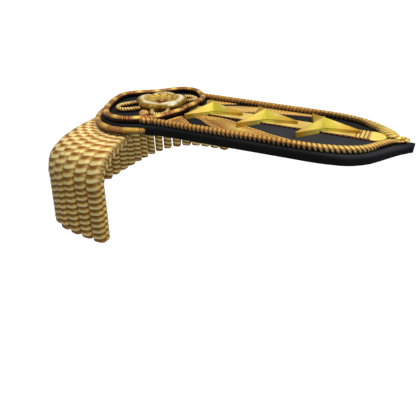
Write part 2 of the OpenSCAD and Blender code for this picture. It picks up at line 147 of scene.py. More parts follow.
def finer(points, closed, times):
    """Points of a smooth curve through the given ones, each span cut in two that many times."""
    p = np.asarray(points, float)
    for _ in range(times):
        if closed:
            q = (9 * (p + np.roll(p, -1, 0)) - np.roll(p, 1, 0) - np.roll(p, -2, 0)) / 16
            p = np.stack([p, q], 1).reshape(-1, p.shape[1])
        else:
            e = np.concatenate([[2 * p[0] - p[1]], p, [2 * p[-1] - p[-2]]])
            q = (9 * (e[1:-2] + e[2:-1]) - e[:-3] - e[3:]) / 16
            p = np.concatenate([np.stack([p[:-1], q], 1).reshape(-1, p.shape[1]), p[-1:]])
    return p


# Outline and heights of the board, as in part.scad
def half_at(x):
    """Half the board's width at x."""
    x = np.asarray(x, float)
    end = ROUND_B * np.sqrt(np.maximum(0, 1 - ((x - ROUND_X) / ROUND_A) ** 2))
    return np.where(x < ROUND_X, end, along(STRAP, x))


def fall_at(x, y):
    """How far the crowned top lies below its middle line."""
    x, y = np.asarray(x, float), np.asarray(y, float)
    crown = np.minimum(CROWN_HALF, np.maximum(2, along(EDGE, x)))
    share = END_SHARE + (1 - END_SHARE) * ramp(x, -58, 8)
    return CROWN_DROP * (1 - 0.55 * ramp(x, 50, 18)) * np.minimum(share, (y / crown) ** 2)


def top_at(x, y):
    """Height of the board's top."""
    return BOARD_THICK - fall_at(x, y)


def low_at(x, y):
    """Height of the board's underside."""
    x = np.asarray(x, float)
    return -(1 - (1 - CROWN_UNDER) * ramp(x, 30, 20)) * fall_at(x, y) + 0.5 * ramp(x, 62, 8)


def strap_at(y):
    """Height of the top on the strap, where leaves and lace lie."""
    return BOARD_THICK - CROWN_DROP * (y / CROWN_HALF) ** 2


# Colours
def tones(*colours):
    """sRGB colours, 0 to 255, as linear light."""
    c = np.array(colours) / 255
    return np.where(c <= 0.04045, c / 12.92, ((c + 0.055) / 1.055) ** 2.4)


def mixed(base, *layers):
    """A colour with others laid over it in turn, each followed by its share, 0 to 1, at each point."""
    for colour, share in zip(layers[::2], layers[1::2]):
        k = np.clip(np.asarray(share, float), 0, 1)[..., None]
        base = base * (1 - k) + colour * k
    return base


BROWN, NEAR_BLACK = tones((138, 82, 36), (22, 14, 9))


# Materials
def material(name, metallic, roughness, grain, grain_mm, bump_mm, wires=0, wire_mix=0.0, sheen=0.0,
             coarse=0.0, coarse_mm=6.0, rough_swing=0.12, specular=0.5):
    """A piece's own tint, broken up by fine grain and a coarse drift, each a share of its brightness.

    Where wires is set, that many fine wires run along each turn of a cord.
    """
    m = bpy.data.materials.new(name)
    m.use_nodes = True
    nodes, links = m.node_tree.nodes, m.node_tree.links
    nodes.clear()

    def add(kind, **inputs):
        n = nodes.new("ShaderNode" + kind)
        for key, value in inputs.items():
            n.inputs[key.replace("_", " ")].default_value = value
        return n

    def noise(size_mm, detail=3.0):
        n = add("TexNoise", Scale=1000 / size_mm, Detail=detail)
        links.new(place.outputs["Object"], n.inputs["Vector"])
        return n.outputs["Fac"]

    def scaled(value, low, high, first=0.3, last=0.7):
        r = add("MapRange", From_Min=first, From_Max=last, To_Min=low, To_Max=high)
        links.new(value, r.inputs["Value"])
        return r.outputs["Result"]

    def times(colour, factor):
        v = add("VectorMath")
        v.operation = "SCALE"
        links.new(colour, v.inputs[0])
        links.new(factor, v.inputs["Scale"])
        return v.outputs["Vector"]

    shader = add("BsdfPrincipled", Metallic=metallic, Sheen_Weight=sheen, Sheen_Roughness=0.45,
                 Specular_IOR_Level=specular)
    links.new(shader.outputs["BSDF"], add("OutputMaterial").inputs["Surface"])
    place = add("TexCoord")
    tint = add("Attribute")
    tint.attribute_name = "tint"

    fine = noise(grain_mm)
    colour = times(tint.outputs["Color"], scaled(fine, 1 - grain, 1 + grain))
    if coarse:
        colour = times(colour, scaled(noise(coarse_mm, 2.0), 1 - coarse, 1 + coarse))
    height = fine
    if wires:
        uv = add("UVMap")
        uv.uv_map = "lay"
        bands = add("TexWave", Scale=wires * math.pi / 10, Distortion=0.6, Detail=1.0, Detail_Scale=2.0)
        bands.wave_type, bands.bands_direction, bands.wave_profile = "BANDS", "Y", "SIN"
        links.new(uv.outputs["UV"], bands.inputs["Vector"])
        colour = times(colour, scaled(bands.outputs["Fac"], 1 - wire_mix, 1 + wire_mix * 0.35, 0, 1))
        relief = add("Math")
        relief.operation = "MULTIPLY_ADD"
        relief.inputs[1].default_value = 0.8
        links.new(bands.outputs["Fac"], relief.inputs[0])
        links.new(fine, relief.inputs[2])
        height = relief.outputs["Value"]
    links.new(colour, shader.inputs["Base Color"])
    links.new(scaled(fine, roughness - rough_swing, roughness + rough_swing), shader.inputs["Roughness"])
    bump = add("Bump", Strength=0.7, Distance=bump_mm * MM)
    links.new(height, bump.inputs["Height"])
    links.new(bump.outputs["Normal"], shader.inputs["Normal"])
    return m


# After the name: metallic, roughness, share and size of the grain, depth of the bump
FELT = material("felt", 0.0, 0.85, 0.22, 0.35, 0.10, sheen=0.02, coarse=0.10, coarse_mm=9, specular=0.06)
CORD = material("cord_wire", 0.25, 0.45, 0.14, 0.5, 0.05, wires=4, wire_mix=0.14, coarse=0.10, specular=0.2)
WRAP = material("wrapped_wire", 0.25, 0.4, 0.12, 0.4, 0.03, coarse=0.12, coarse_mm=4, specular=0.22)
LACE = material("lace_weave", 0.15, 0.5, 0.14, 0.35, 0.04, coarse=0.08, specular=0.25)
STITCH = material("satin_stitch", 0.2, 0.45, 0.12, 0.3, 0.04, coarse=0.12, specular=0.25)
STAR = material("star_metal", 0.25, 0.36, 0.05, 2.2, 0.02, coarse=0.12, rough_swing=0.08, specular=0.1)
PETAL_METAL = material("petal_metal", 0.3, 0.4, 0.16, 0.5, 0.03, coarse=0.16, coarse_mm=4, specular=0.2)
BUTTON = material("button_metal", 0.4, 0.5, 0.08, 0.6, 0.02)
BULLION = material("bullion_wire", 0.15, 0.45, 0.08, 0.5, 0.05, wires=5, wire_mix=0.10, coarse=0.10,
                   coarse_mm=8, specular=0.18)


# Pieces
def paint_points(mesh, tint):
    """Store the colour of each point where the materials read it."""
    rgba = np.ones((len(mesh.vertices), 4), np.float32)
    rgba[:, :3] = tint
    mesh.attributes.new("tint", "FLOAT_COLOR", "POINT").data.foreach_set("color", rgba.ravel())


def dress(name, mesh, look, node):
    """The mesh as an object that rides on the part in place of a CAD node."""
    mesh.materials.append(look)
    mesh.update()
    o = bpy.data.objects.new(name, mesh)
    bpy.context.scene.collection.objects.link(o)
    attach(o, "root")
    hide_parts(node)
    return o


def piece(name, shape, look, node):
    """A smooth piece. Its shape is its points in millimetres, faces, colours and, for a cord, UV places."""
    points, faces, tint, *lay = shape
    mesh = bpy.data.meshes.new(name)
    mesh.from_pydata((points * MM).tolist(), [], faces)
    paint_points(mesh, tint)
    if lay:
        mesh.uv_layers.new(name="lay").data.foreach_set("uv", lay[0].astype(np.float32).ravel())
    b = bmesh.new()
    b.from_mesh(mesh)
    bmesh.ops.remove_doubles(b, verts=b.verts, dist=1e-8)
    bmesh.ops.recalc_face_normals(b, faces=b.faces)
    b.to_mesh(mesh)
    b.free()
    mesh.polygons.foreach_set("use_smooth", [True] * len(mesh.polygons))
    return dress(name, mesh, look, node)


def grid_faces(rows, columns, wrap=False):
    """Quads between the rows of a grid, closed round each row where wrap is set."""
    i, j = np.meshgrid(np.arange(rows - 1), np.arange(columns if wrap else columns - 1), indexing="ij")
    k = (j + 1) % columns
    corners = [i * columns + j, i * columns + k, (i + 1) * columns + k, (i + 1) * columns + j]
    return np.stack(corners, -1).reshape(-1, 4)


def pad(xx, yy, base, rise):
    """Points and faces of a closed shell over a grid: its top is base + rise, its underside base."""
    top, under = np.dstack([xx, yy, base + rise]), np.dstack([xx, yy, base])
    rows, columns = xx.shape
    index = np.arange(xx.size).reshape(rows, columns)
    edge = np.concatenate([index[0], index[1:, -1], index[-1, -2::-1], index[-2:0:-1, 0]])
    after = np.roll(edge, -1)
    up = grid_faces(rows, columns)
    wall = np.stack([edge, edge + xx.size, after + xx.size, after], -1)
    faces = np.concatenate([up, up[:, ::-1] + xx.size, wall]).tolist()
    return np.concatenate([top.reshape(-1, 3), under.reshape(-1, 3)]), faces


def joined(shapes):
    """Several shapes with UV places as one."""
    points, faces, tint, lay = zip(*shapes)
    first = np.cumsum([0] + [len(p) for p in points]).tolist()
    all_faces = [[v + start for v in face] for start, group in zip(first, faces) for face in group]
    return np.concatenate(points), all_faces, np.concatenate(tint), np.concatenate(lay)


class Line:
    """A path with its length along it, and what belongs to a place on it."""

    def __init__(self, points, closed=False):
        p = np.asarray(points, float)
        if closed:
            p = np.concatenate([p, p[:1]])
        self.p, self.closed, self.s = p, closed, run(p)
        self.length = self.s[-1]

    def at(self, s):
        return np.stack([np.interp(s, self.s, self.p[:, c]) for c in range(3)], -1)

    def value(self, s, values):
        """What a list with one value for each point of an open line gives at length s."""
        return np.interp(s, self.s, values)

    def ahead(self, s, step=0.35):
        """The line's direction at length s."""
        if self.closed:
            return unit(self.at((s + step) % self.length) - self.at((s - step) % self.length))
        return unit(self.at(np.minimum(s + step, self.length)) - self.at(np.maximum(s - step, 0)))


def turns_along(line, pitch, starts):
    """Lengths along a line and how many wires lie before each; a closed line gets whole wires."""
    s = np.linspace(0, line.length, 4000)
    turns = np.concatenate([[0], np.cumsum(np.diff(s) / np.interp((s[1:] + s[:-1]) / 2, s, pitch(s)))])
    whole = max(starts, round(turns[-1] / starts) * starts) if line.closed else turns[-1]
    return s, turns * (whole / turns[-1]), whole


def screw_faces(index, rows, around, per, shift, closed):
    """Faces and their UV places between the rows of a screw, without those that shrink to a line."""
    def vertex(a, b):
        """Index of row a, column b, with b one past the last meaning the first column a turn back."""
        over = b == around
        a = np.where(over, a - shift, a)
        a = a % rows if closed else np.clip(a, 0, rows)
        return index[a, np.where(over, 0, b)]

    i, j = (v.ravel() for v in np.meshgrid(np.arange(rows), np.arange(around), indexing="ij"))
    corners = ((i, j), (i, j + 1), (i + 1, j + 1), (i + 1, j))
    quads = np.stack([vertex(a, b) for a, b in corners], -1)
    places = np.stack([np.stack([b / around, a / per], -1) for a, b in corners], 1)
    faces, lay = [], []
    for quad, place in zip(quads.tolist(), places.tolist()):
        keep = [k for k in range(4) if quad[k] != quad[k - 1]]
        if len(keep) >= 3 and len({quad[k] for k in keep}) == len(keep):
            faces.append([quad[k] for k in keep])
            lay.extend(place[k] for k in keep)
    return faces, lay


def screw(line, wide, high, pitch, starts, per, around, relief, paint, side=None, lean=None):
    """Shape of a cord along a line, its mesh turning with its wires.

    wide and high are half its width and height by length, and pitch is the distance from wire to wire.
    starts is how many wires wind side by side, per is the rows in a wire, around the points in a row.
    relief(p, s, a) and paint(p, s, a) give the share of the radius and the colour by phase p across
    a wire, length s and angle a (top at 270 degrees). lean(s, a) moves a place along the line.
    """
    fine_s, turns, whole = turns_along(line, pitch, starts)
    shift = per * starts
    rows = int(round(whole * per)) if line.closed else int(math.ceil(whole * per)) + shift
    i, j = np.meshgrid(np.arange(rows if line.closed else rows + 1), np.arange(around), indexing="ij")
    raw = i - j / around * shift
    turn = (raw / per) % whole if line.closed else np.clip(raw / per, 0, whole)
    s, angle = np.interp(turn, turns, fine_s), TURN * j / around
    phase = np.round(turn + j / around * starts, 9) % 1.0
    if lean is not None:
        s = np.clip(s + lean(s, angle), 0, line.length)
    t = line.ahead(s)
    across = unit(np.cross([0.0, 0.0, 1.0], t) if side is None else np.broadcast_to(side, t.shape))
    up = unit(np.cross(t, across))
    r = relief(phase, s, angle)
    points = (line.at(s) + (wide(s) * r * np.cos(angle))[..., None] * across
              - (high(s) * r * np.sin(angle))[..., None] * up).reshape(-1, 3)
    tint = paint(phase, s, angle).reshape(-1, 3)

    index = i * around + j
    if not line.closed:
        first, last = np.argmax(turn > 0, axis=0) - 1, np.argmax(turn >= whole, axis=0)
        index = np.where(i <= first[j], np.maximum(first[j], 0) * around + j, index)
        index = np.where(i >= last[j], last[j] * around + j, index)
    faces, lay = screw_faces(index, rows, around, per, shift, line.closed)
    if not line.closed:
        for row in (0, rows):
            ring, middle = index[row].tolist(), len(points)
            points = np.concatenate([points, [points[ring].mean(0)]])
            tint = np.concatenate([tint, [tint[ring].mean(0)]])
            for a, b in zip(ring, ring[1:] + ring[:1]):
                if a != b:
                    faces.append([a, b, middle])
                    lay.extend([[0, 0], [0.05, 0], [0.02, 0.02]])
    used = np.unique(np.concatenate([np.array(f) for f in faces]))
    renumber = np.full(len(points), -1)
    renumber[used] = np.arange(len(used))
    return points[used], [renumber[f].tolist() for f in faces], tint[used], np.array(lay)


def groove(p, depth, sharp=2.0):
    """Share of the radius across a round wire: 1 on its crest, 1 - depth in the groove at its sides."""
    return 1 - depth * np.abs(2 * p - 1) ** sharp


def ends(line, reach, blunt):
    """Share of the radius by length: blunt at both ends of a line, rounded up to 1 within reach of them."""
    def share(s):
        d = np.clip(np.minimum(s, line.length - s) / reach, 0, 1)
        return blunt + (1 - blunt) * np.sqrt(np.maximum(0, 1 - (1 - d) ** 2))
    return share


# Board
LOW_EDGE, TIP_ROUND = 0.7, 0.5
INWARD = [1, 0.86, 0.72, 0.58, 0.46, 0.35, 0.26, 0.18, 0.11, 0.05]
# Welt on the underside: how far in, how deep
WELT = ((1.5, 0.0), (1.75, 0.28), (2.05, 0.28), (2.3, 0.02))
# Felt: side, top painted lighter than the side, painted sheen, lining, welt, stitches
FELT_SIDE, FELT_TOP, FELT_PAINTED_SHEEN, LINING, WELT_DARK, WELT_STITCH = tones(
    (21, 21, 21), (30, 31, 33), (53, 53, 55), (38, 36, 38), (9, 9, 9), (70, 66, 62))


def board_outline():
    """Points round the board, first along the back to its point, and the way out at each."""
    arc, tip = np.radians(np.linspace(0, 90, 46)), np.radians([25, 50, 70, 90])
    start = BOARD_TIP - TIP_ROUND
    x = np.concatenate([np.linspace(-68.4, 38, 84), np.linspace(38.8, start, 62)])
    y = half_at(x)
    x = np.concatenate([ROUND_X - ROUND_A * np.cos(arc), x, start + TIP_ROUND * np.sin(tip)])
    y = np.concatenate([ROUND_B * np.sin(arc), y, y[-1] * np.cos(tip)])
    y[0], y[-1] = 0, 0
    line = np.stack([np.concatenate([x, x[-2:0:-1]]), np.concatenate([y, -y[-2:0:-1]])], -1)
    t = np.roll(line, -1, 0) - np.roll(line, 1, 0)
    return line, unit(np.stack([-t[:, 1], t[:, 0]], -1))


def make_board():
    """Padded felt board, as rings from the middle of its top over its edge to the middle of its lining."""
    line, out = board_outline()
    x = line[:, 0]
    half = np.maximum(0.6, half_at(np.minimum(x, BOARD_TIP)))
    edge, low_edge = np.minimum(BOARD_EDGE, 0.5 * half), np.minimum(LOW_EDGE, 0.3 * half)
    spine = np.where(x < ROUND_X, ROUND_X + 0.5 * (x - ROUND_X), np.where(x > 60, 60 + 0.5 * (x - 60), x))
    spine = np.stack([spine, np.zeros_like(spine)], -1)
    rings = []

    def inset(by):
        return line - out * by[:, None]

    def ring(by, z):
        rings.append(np.column_stack([inset(by), z]))

    def cover(by, shares, height):
        for k in shares:
            p = inset(by) * (1 - k) + spine * k
            rings.append(np.column_stack([p, height(*p.T)]))

    cover(edge, INWARD, top_at)
    crest, low = top_at(*inset(edge).T), low_at(*inset(low_edge).T)
    for f in np.radians([0, 14, 28, 42, 56, 70, 90]):
        ring(edge * (1 - np.sin(f)), crest - edge * (1 - np.cos(f)))
    for k in (0.33, 0.66, 1):
        ring(0 * edge, (crest - edge) * (1 - k) + (low + low_edge) * k)
    for f in np.radians([30, 60, 90]):
        ring(low_edge * (1 - np.cos(f)), low + low_edge * (1 - np.sin(f)))
    first_lining = len(rings)
    for step, sunk in WELT:
        by = low_edge + np.minimum(step, step * 0.12 * half)
        ring(by, low_at(*inset(by).T) + sunk * np.minimum(1, half / 8))
    cover(by, INWARD[::-1], low_at)

    points = np.concatenate(rings)
    x, y, z = points.T
    row = np.repeat(np.arange(len(rings)), len(line)) - first_lining
    stitch = np.tile(np.arange(len(line)) % 2, len(rings))
    # Painted light: the top lighter than the side, and a painted sheen on the top towards the front and the
    # point
    tint = mixed(FELT_SIDE, FELT_TOP, ramp(z, 1.8, 1.8),
                 FELT_PAINTED_SHEEN, ramp(x, -22, 34) * ramp(y, 3, -12) * ramp(z, 2.4, 1.6),
                 LINING, row >= 3, WELT_DARK, (row == 1) | (row == 2),
                 WELT_STITCH, stitch * (row == 0) * 0.8)
    faces = grid_faces(len(rings), len(line), wrap=True).tolist()
    return piece("board_felt", (points, faces, tint), FELT, "board")


board = make_board()


# Edge cord
# The front end turns in from TUCK_FROM on, under the lobed cord. The ends stop at the other two.
TUCK_FROM, TUCK_FRONT, TUCK_BACK = -51.8, -57.4, -53.0
FRONT_PITCH, BACK_PITCH = 2.3, 2.18
# Angle round the cord that the photograph looks at, on its front and its back arm
FRONT_SEEN, BACK_SEEN = 212, 328
EDGE_SIDE, EDGE_TOP, EDGE_TOP_TIP, EDGE_FLANK, EDGE_FLANK_TIP, EDGE_LIT, EDGE_GAP, EDGE_GAP_TIP = tones(
    (172, 114, 48), (208, 160, 72), (240, 204, 104), (168, 132, 84), (210, 180, 112), (255, 230, 118),
    (112, 58, 26), (140, 84, 38))


def edge_thin(x):
    """Radius of the edge cord, thinner towards the point."""
    return EDGE_R * (1 - 0.4 * ramp(x, 60, 7))


def edge_spot(x, side):
    """Middle of the edge cord at x, on the front arm (side -1) or the back arm (side 1)."""
    x = np.asarray(x, float)
    y = along(EDGE, x)
    d = np.maximum(0, TUCK_FROM - x) if side < 0 else 0 * x
    z = top_at(x, y) + edge_thin(x) + GAP + 0.12 * ramp(x, 54, 4) + 0.12 * ramp(x, 60, 3)
    return np.stack([x, side * (y + 0.68 * d * smooth(d / 2)), z], -1)


def edge_line():
    """The edge cord's route: front arm, turn at the point, back arm. Near the point the back arm lies
    further in and the front arm lower."""
    straight, curved = 40, np.linspace(40.3, 67.2, 110)
    front = edge_spot(np.concatenate([np.linspace(TUCK_FRONT, straight, 200), curved]), -1)
    back = edge_spot(np.concatenate([np.linspace(TUCK_BACK, straight, 200), curved]), 1)[::-1]
    front[:, 2] -= 0.3 * ramp(front[:, 0], 60, 7) * edge_thin(front[:, 0])
    z = edge_spot(67.6, 1)[2] - 0.1
    turn = np.array([front[-1], [68.5, -0.75, z - 0.12], [68.9, 0, z - 0.06], [68.5, 0.75, z], back[0]])
    x = back[:, 0]
    inward = 0.9 * ramp(x, 44, 8) + 0.6 * ramp(x, 56, 4) + 0.5 * ramp(x, 60, 3)
    back[:, 1] -= inward * ramp(x, 67.5, -4)
    return Line(np.concatenate([front[:-1], finer(turn, False, 3), back[1:]]))


def make_edge_cord():
    """Twisted cord round the strap, both ends tucked under the lobed cord."""
    line = edge_line()
    place = line.p[:, 0]
    ending = ends(line, 1.4, 0.4)
    half_way = line.length * 0.505

    def radius(s):
        x = line.value(s, place)
        return edge_thin(x) * ending(s) * (1 - 0.3 * ramp(x, 60, 7) * smooth((half_way - s) / 1.5 + 0.5))

    def wide(s):
        x = line.value(s, place)
        more = 0.5 * ramp(x, 44, 8) + 0.45 * ramp(x, 55, 5)
        return radius(s) * (1 + more * ramp(x, 70, -6.5) * (s > half_way))

    def pitch(s):
        return np.where(s > half_way, BACK_PITCH, FRONT_PITCH - 0.6 * ramp(line.value(s, place), 47, 8))

    def lean(s, a):
        """Wires drawn out along the cord on the side seen, more so towards the point."""
        x = line.value(s, place)
        seen = np.radians(np.where(s < half_way, FRONT_SEEN, BACK_SEEN))
        front = 0.95 * ramp(x, 22, 22) - 0.2
        back = 1.7 * ramp(x, 28, 16) - 0.8 - 3.7 * ramp(x, 43, 14)
        return -np.sin(a - seen) * np.where(s < half_way, front, back) * ramp(x, 69.5, -13) * ending(s)

    def paint(p, s, a):
        up, q, x = -np.sin(a), np.abs(2 * p - 1), line.value(s, place)
        back = (s > half_way) * 1.0
        tip = ramp(x, 15, 30)
        # Painted light: each wire's top lighter, its underside duller, and a painted highlight on the back
        # arm near the point
        crest = mixed(EDGE_SIDE,
                      mixed(EDGE_TOP, EDGE_TOP_TIP, tip), ramp(up, 0.2, 0.6) * (1 - 0.6 * ramp(q, 0.25, 0.5)),
                      mixed(EDGE_FLANK, EDGE_FLANK_TIP, tip), ramp(up, 0.36, -0.2),
                      EDGE_LIT, 0.6 * back * ramp(x, 54, 6))
        # Painted shade low on the front arm's middle and on the side of the back arm; every second wire of
        # the back arm darker
        middle = ramp(x, -8, 12) * ramp(x, 40, -10) * (1 - back)
        every_second = ripple(TURN * s / (2 * BACK_PITCH))
        shade = 0.3 * middle * ramp(up, 0.7, -0.5) + 0.16 * back * ramp(x, 52, -8) * every_second
        dusk = back * ramp(x, 14, 12) * ramp(x, 54, -6) * (0.1 + 0.6 * ramp(up, 0.85, -0.4))
        crest = crest * (1 - shade)[..., None] * (1 - dusk)[..., None]
        # Painted shadow under the front arm near the point, and painted shade that turns the gaps near black
        # on the underside
        crest = mixed(crest, NEAR_BLACK, ramp(x, 54, 4) * (1 - back) * ramp(up, 0.2, -0.25))
        low = ramp(up, 0.42 - 0.3 * back, -0.3) * (1 - 0.9 * back * ramp(x, 46, 10))
        gap = mixed(EDGE_GAP, EDGE_GAP_TIP, tip, crest, 0.3 * back * ramp(x, 58, -8), NEAR_BLACK, low)
        return mixed(crest, gap, ramp(q + (0.2 + 0.22 * middle) * low, 0.64, 0.24))

    def relief(p, s, a):
        return groove(p, 0.15, 3.4)

    shape = screw(line, wide, radius, pitch, 1, 12, 20, relief, paint, lean=lean)
    return piece("edge_cord_twist", shape, CORD, "edge_cord")


# Lobed and outer cord, with smooth lengths and lengths wrapped in wire
# Distances from wire to wire, and how many smooth lengths the lobed cord has
LOBED_PITCH, OUTER_PITCH, LOBED_PARTS = 1.2, 1.05, 16
# Wraps of the outer cord: middle along it, half length; the first four, then one every WRAP_STEP
WRAP_STEP = 13.4
WRAPS = np.array([[1.8, 1.5], [16.0, 4.6], [30.4, 3.2], [39.8, 1.7]]
                 + [[39.8 + WRAP_STEP * k, 1.7 + 1.4 * (k % 2)] for k in range(1, 12)])
LOBED_DIM, LOBED_LIT, LOBED_FLANK, LOBED_WIRE, LOBED_RING, LOBED_GAP, LOBED_LOW = tones(
    (190, 138, 56), (238, 200, 98), (166, 106, 42), (208, 148, 68), (158, 94, 40), (112, 56, 26),
    (50, 27, 14))
OUTER_DIM, OUTER_LIT, OUTER_FLANK, OUTER_WIRE, OUTER_GAP, OUTER_UNDER = tones(
    (206, 160, 70), (226, 186, 84), (182, 138, 54), (212, 158, 84), (116, 58, 28), (136, 104, 40))


def wrapped(p, a, bright, plain, flank, wire, gap, low, wire_half, dusk):
    """Colour of a cord that is smooth where bright is 1 and wrapped in wire where it is 0.

    plain and flank colour the top and sides of a smooth length, wire and gap a wrapped one, and low is
    the underside. The top is painted lighter than the flanks and the underside is painted shade. dusk is the
    pair of heights round the cord between which it turns to its underside.
    """
    up = -np.sin(a)
    q = np.abs(2 * p - 1)
    # Painted light: the top lighter than the flanks, darker towards the grooves
    sheen = mixed(flank, plain, ramp(up, 0.05, 0.85))
    sheen = mixed(sheen, sheen * 0.62, 0.55 * ramp(q, 0.45, 0.4))
    # Painted shade on the underside, near black in the gaps
    under = mixed(low, NEAR_BLACK, ramp(q, 0.25, 0.4) * (1 - 0.5 * bright))
    return mixed(wire, gap, ramp(q, wire_half, 0.4), sheen, bright,
                 under, ramp(up, dusk[0], dusk[1] - dusk[0]))


def make_lobed_cord():
    """Closed cord round the rosette, over the lace strip, in equal smooth and wrapped parts."""
    plan = finer(LOBED, True, 5)
    x, y = plan.T
    over_strip = np.where(x > -56, (STRIP_THICK + GAP) * ramp(np.abs(y), 10, -3), 0)
    line = Line(np.column_stack([plan, top_at(x, y) + LOBED_R + GAP + over_strip]), True)

    def swell(s):
        """0 in the middle of a smooth length, 0.5 in the middle of a wrapped one."""
        return np.abs((s / line.length * LOBED_PARTS + 0.505) % 1.0 - 0.5)

    def relief(p, s, a):
        plain = ramp(swell(s), 0.30, -0.12)
        return (0.94 + 0.06 * np.cos(swell(s) * np.pi)) * groove(p, (1 - plain) * 0.07)

    def paint(p, s, a):
        plain = mixed(LOBED_DIM, LOBED_LIT, ramp(swell(s), 0.2, -0.16))
        wire = mixed(LOBED_WIRE, LOBED_RING, ripple(a + TURN * s / (2 * LOBED_PITCH)))
        return wrapped(p, a, ramp(swell(s), 0.34, -0.14), plain, LOBED_FLANK, wire, LOBED_GAP, LOBED_LOW,
                       0.3, (0.6, 0.25))

    shape = screw(line, steady(LOBED_R), steady(LOBED_R), steady(LOBED_PITCH), 1, 8, 24, relief, paint)
    return piece("lobed_cord_wound", shape, WRAP, "lobed_cord")


def make_outer_cord():
    """Cord on the side of the round end, with two blunt ends."""
    out = OUTER_R + 0.12
    x = np.linspace(OUTER_START, ROUND_X, 30)
    slope = (half_at(x + 0.2) - half_at(x - 0.2)) / 0.4
    q = np.sqrt(1 + slope**2)
    arm = np.column_stack([x - out * slope / q, -(half_at(x) + out / q)])
    a = np.radians(np.linspace(88, 0, 90))
    rim = np.column_stack([ROUND_X - ROUND_A * np.cos(a), -ROUND_B * np.sin(a)])
    arc = rim + out * unit(np.column_stack([-ROUND_B * np.cos(a), -ROUND_A * np.sin(a)]))
    half = np.concatenate([[arm[0] + [0.8, 0]], arm, arc])
    plan = np.concatenate([half, half[-2::-1] * [1, -1]])
    line = Line(np.column_stack([plan, np.full(len(plan), BOARD_THICK - OUTER_LOW)]))
    ending = ends(line, 1.5, 0.35)

    def bright(s):
        """1 between the wraps, 0 inside them."""
        nearest = np.min(np.abs(s[..., None] - WRAPS[:, 0]) - WRAPS[:, 1], axis=-1)
        return smooth(nearest / 0.8 + 0.5)

    def radius(s):
        return OUTER_R * ending(s)

    def relief(p, s, a):
        return (0.96 + 0.04 * bright(s)) * groove(p, (1 - bright(s)) * 0.08)

    def paint(p, s, a):
        plain = mixed(OUTER_DIM, OUTER_LIT, 0.5 + 0.5 * np.sin(s * 0.9))
        return wrapped(p, a, bright(s), plain, OUTER_FLANK, OUTER_WIRE, OUTER_GAP, OUTER_UNDER,
                       0.25, (0.35, -0.6))

    shape = screw(line, radius, radius, steady(OUTER_PITCH), 1, 6, 20, relief, paint)
    return piece("outer_cord_wound", shape, WRAP, "outer_cord")


# Loops and tail
# Distances from wire to wire, and how far the loops' ends run on under the rosette
LOOP_PITCH, TAIL_PITCH, LOOP_TUCK = 1.5, 0.95, 2.4
LOOP_SIDE, LOOP_TOP, LOOP_LOW, LOOP_ROOT_SHADOW, LOOP_GAP, TAIL_TOP, TAIL_GAP = tones(
    (214, 146, 74), (255, 224, 134), (98, 58, 32), (124, 74, 34), (104, 54, 28), (250, 208, 118),
    (150, 84, 38))


def turned(p, degrees):
    """Points laid out from the rosette's middle along x, turned about it."""
    c, s = math.cos(math.radians(degrees)), math.sin(math.radians(degrees))
    return np.stack([ROSETTE_X + p[..., 0] * c - p[..., 1] * s, p[..., 0] * s + p[..., 1] * c], -1)


def make_loop(name):
    """Twisted hairpin, both its ends under the rosette."""
    direction, reach, near, far = LOOPS[name]
    root, straight = ROSETTE_R + 0.2, reach - far
    a = np.radians(np.arange(90, -91, -22.5))
    leg = np.array([[root - LOOP_TUCK, near], [(root + straight) / 2, (near + far) / 2]])
    turn = np.column_stack([straight + far * np.cos(a) * 0.95, far * np.sin(a)])
    plan = turned(finer(np.concatenate([leg, turn, leg[::-1] * [1, -1]]), False, 4), direction)
    line = Line(np.column_stack([plan, top_at(plan[:, 0], plan[:, 1]) + LOOP_R + GAP]))
    ending = ends(line, 0.8, 0.5)

    def radius(s):
        return LOOP_R * ending(s)

    def paint(p, s, a):
        up, q = -np.sin(a), np.abs(2 * p - 1)
        # Painted light: the top lighter, the underside and its gaps darker, and painted shadow of the rosette
        # near both ends
        gap = mixed(LOOP_GAP, NEAR_BLACK, ramp(up, 0.4, -0.5))
        return mixed(LOOP_SIDE, LOOP_TOP, ramp(up, 0.05, 0.8), LOOP_LOW, ramp(up, 0.1, -0.4),
                     LOOP_ROOT_SHADOW, 0.45 * ramp(np.minimum(s, line.length - s), 5.4, -1.6),
                     gap, ramp(q, 0.46, 0.35))

    def relief(p, s, a):
        return groove(p, 0.2, 2.2)

    shape = screw(line, radius, radius, steady(LOOP_PITCH), 2, 8, 16, relief, paint)
    return piece(name + "_twist", shape, CORD, name)


def make_tail():
    """Short tapered cord end, flat on the board, ribbed across by its wires."""
    d = np.linspace(TAIL[0, 0], TAIL[-1, 0], 64)
    a = np.radians(np.linspace(0, 180, 25))
    rib = ripple(TURN * (d - TAIL[0, 0]) / TAIL_PITCH)[:, None]
    half = along(TAIL, d)[:, None] * (0.95 + 0.1 * rib)
    across = -np.cos(a) * half
    rise = np.sin(a) ** 0.8 * 1.9 / 2.5 * half
    plan = turned(np.stack([np.broadcast_to(d[:, None], across.shape), across], -1), 270)
    x, y = plan[..., 0], plan[..., 1]
    points, faces = pad(x, y, top_at(x, y) + GAP, rise)
    share = np.concatenate([rise.ravel() / rise.max(), np.zeros(rise.size)])
    between = np.tile(np.broadcast_to(1 - rib, rise.shape).ravel(), 2)
    # Painted light: lighter towards the top of the dome
    tint = mixed(BROWN, TAIL_TOP, share * 1.1, TAIL_GAP, between * 0.95)
    return piece("tail_wound", (points, faces, tint), WRAP, "tail")


make_edge_cord()
make_lobed_cord()
make_outer_cord()
for loop in LOOPS:
    make_loop(loop)
make_tail()


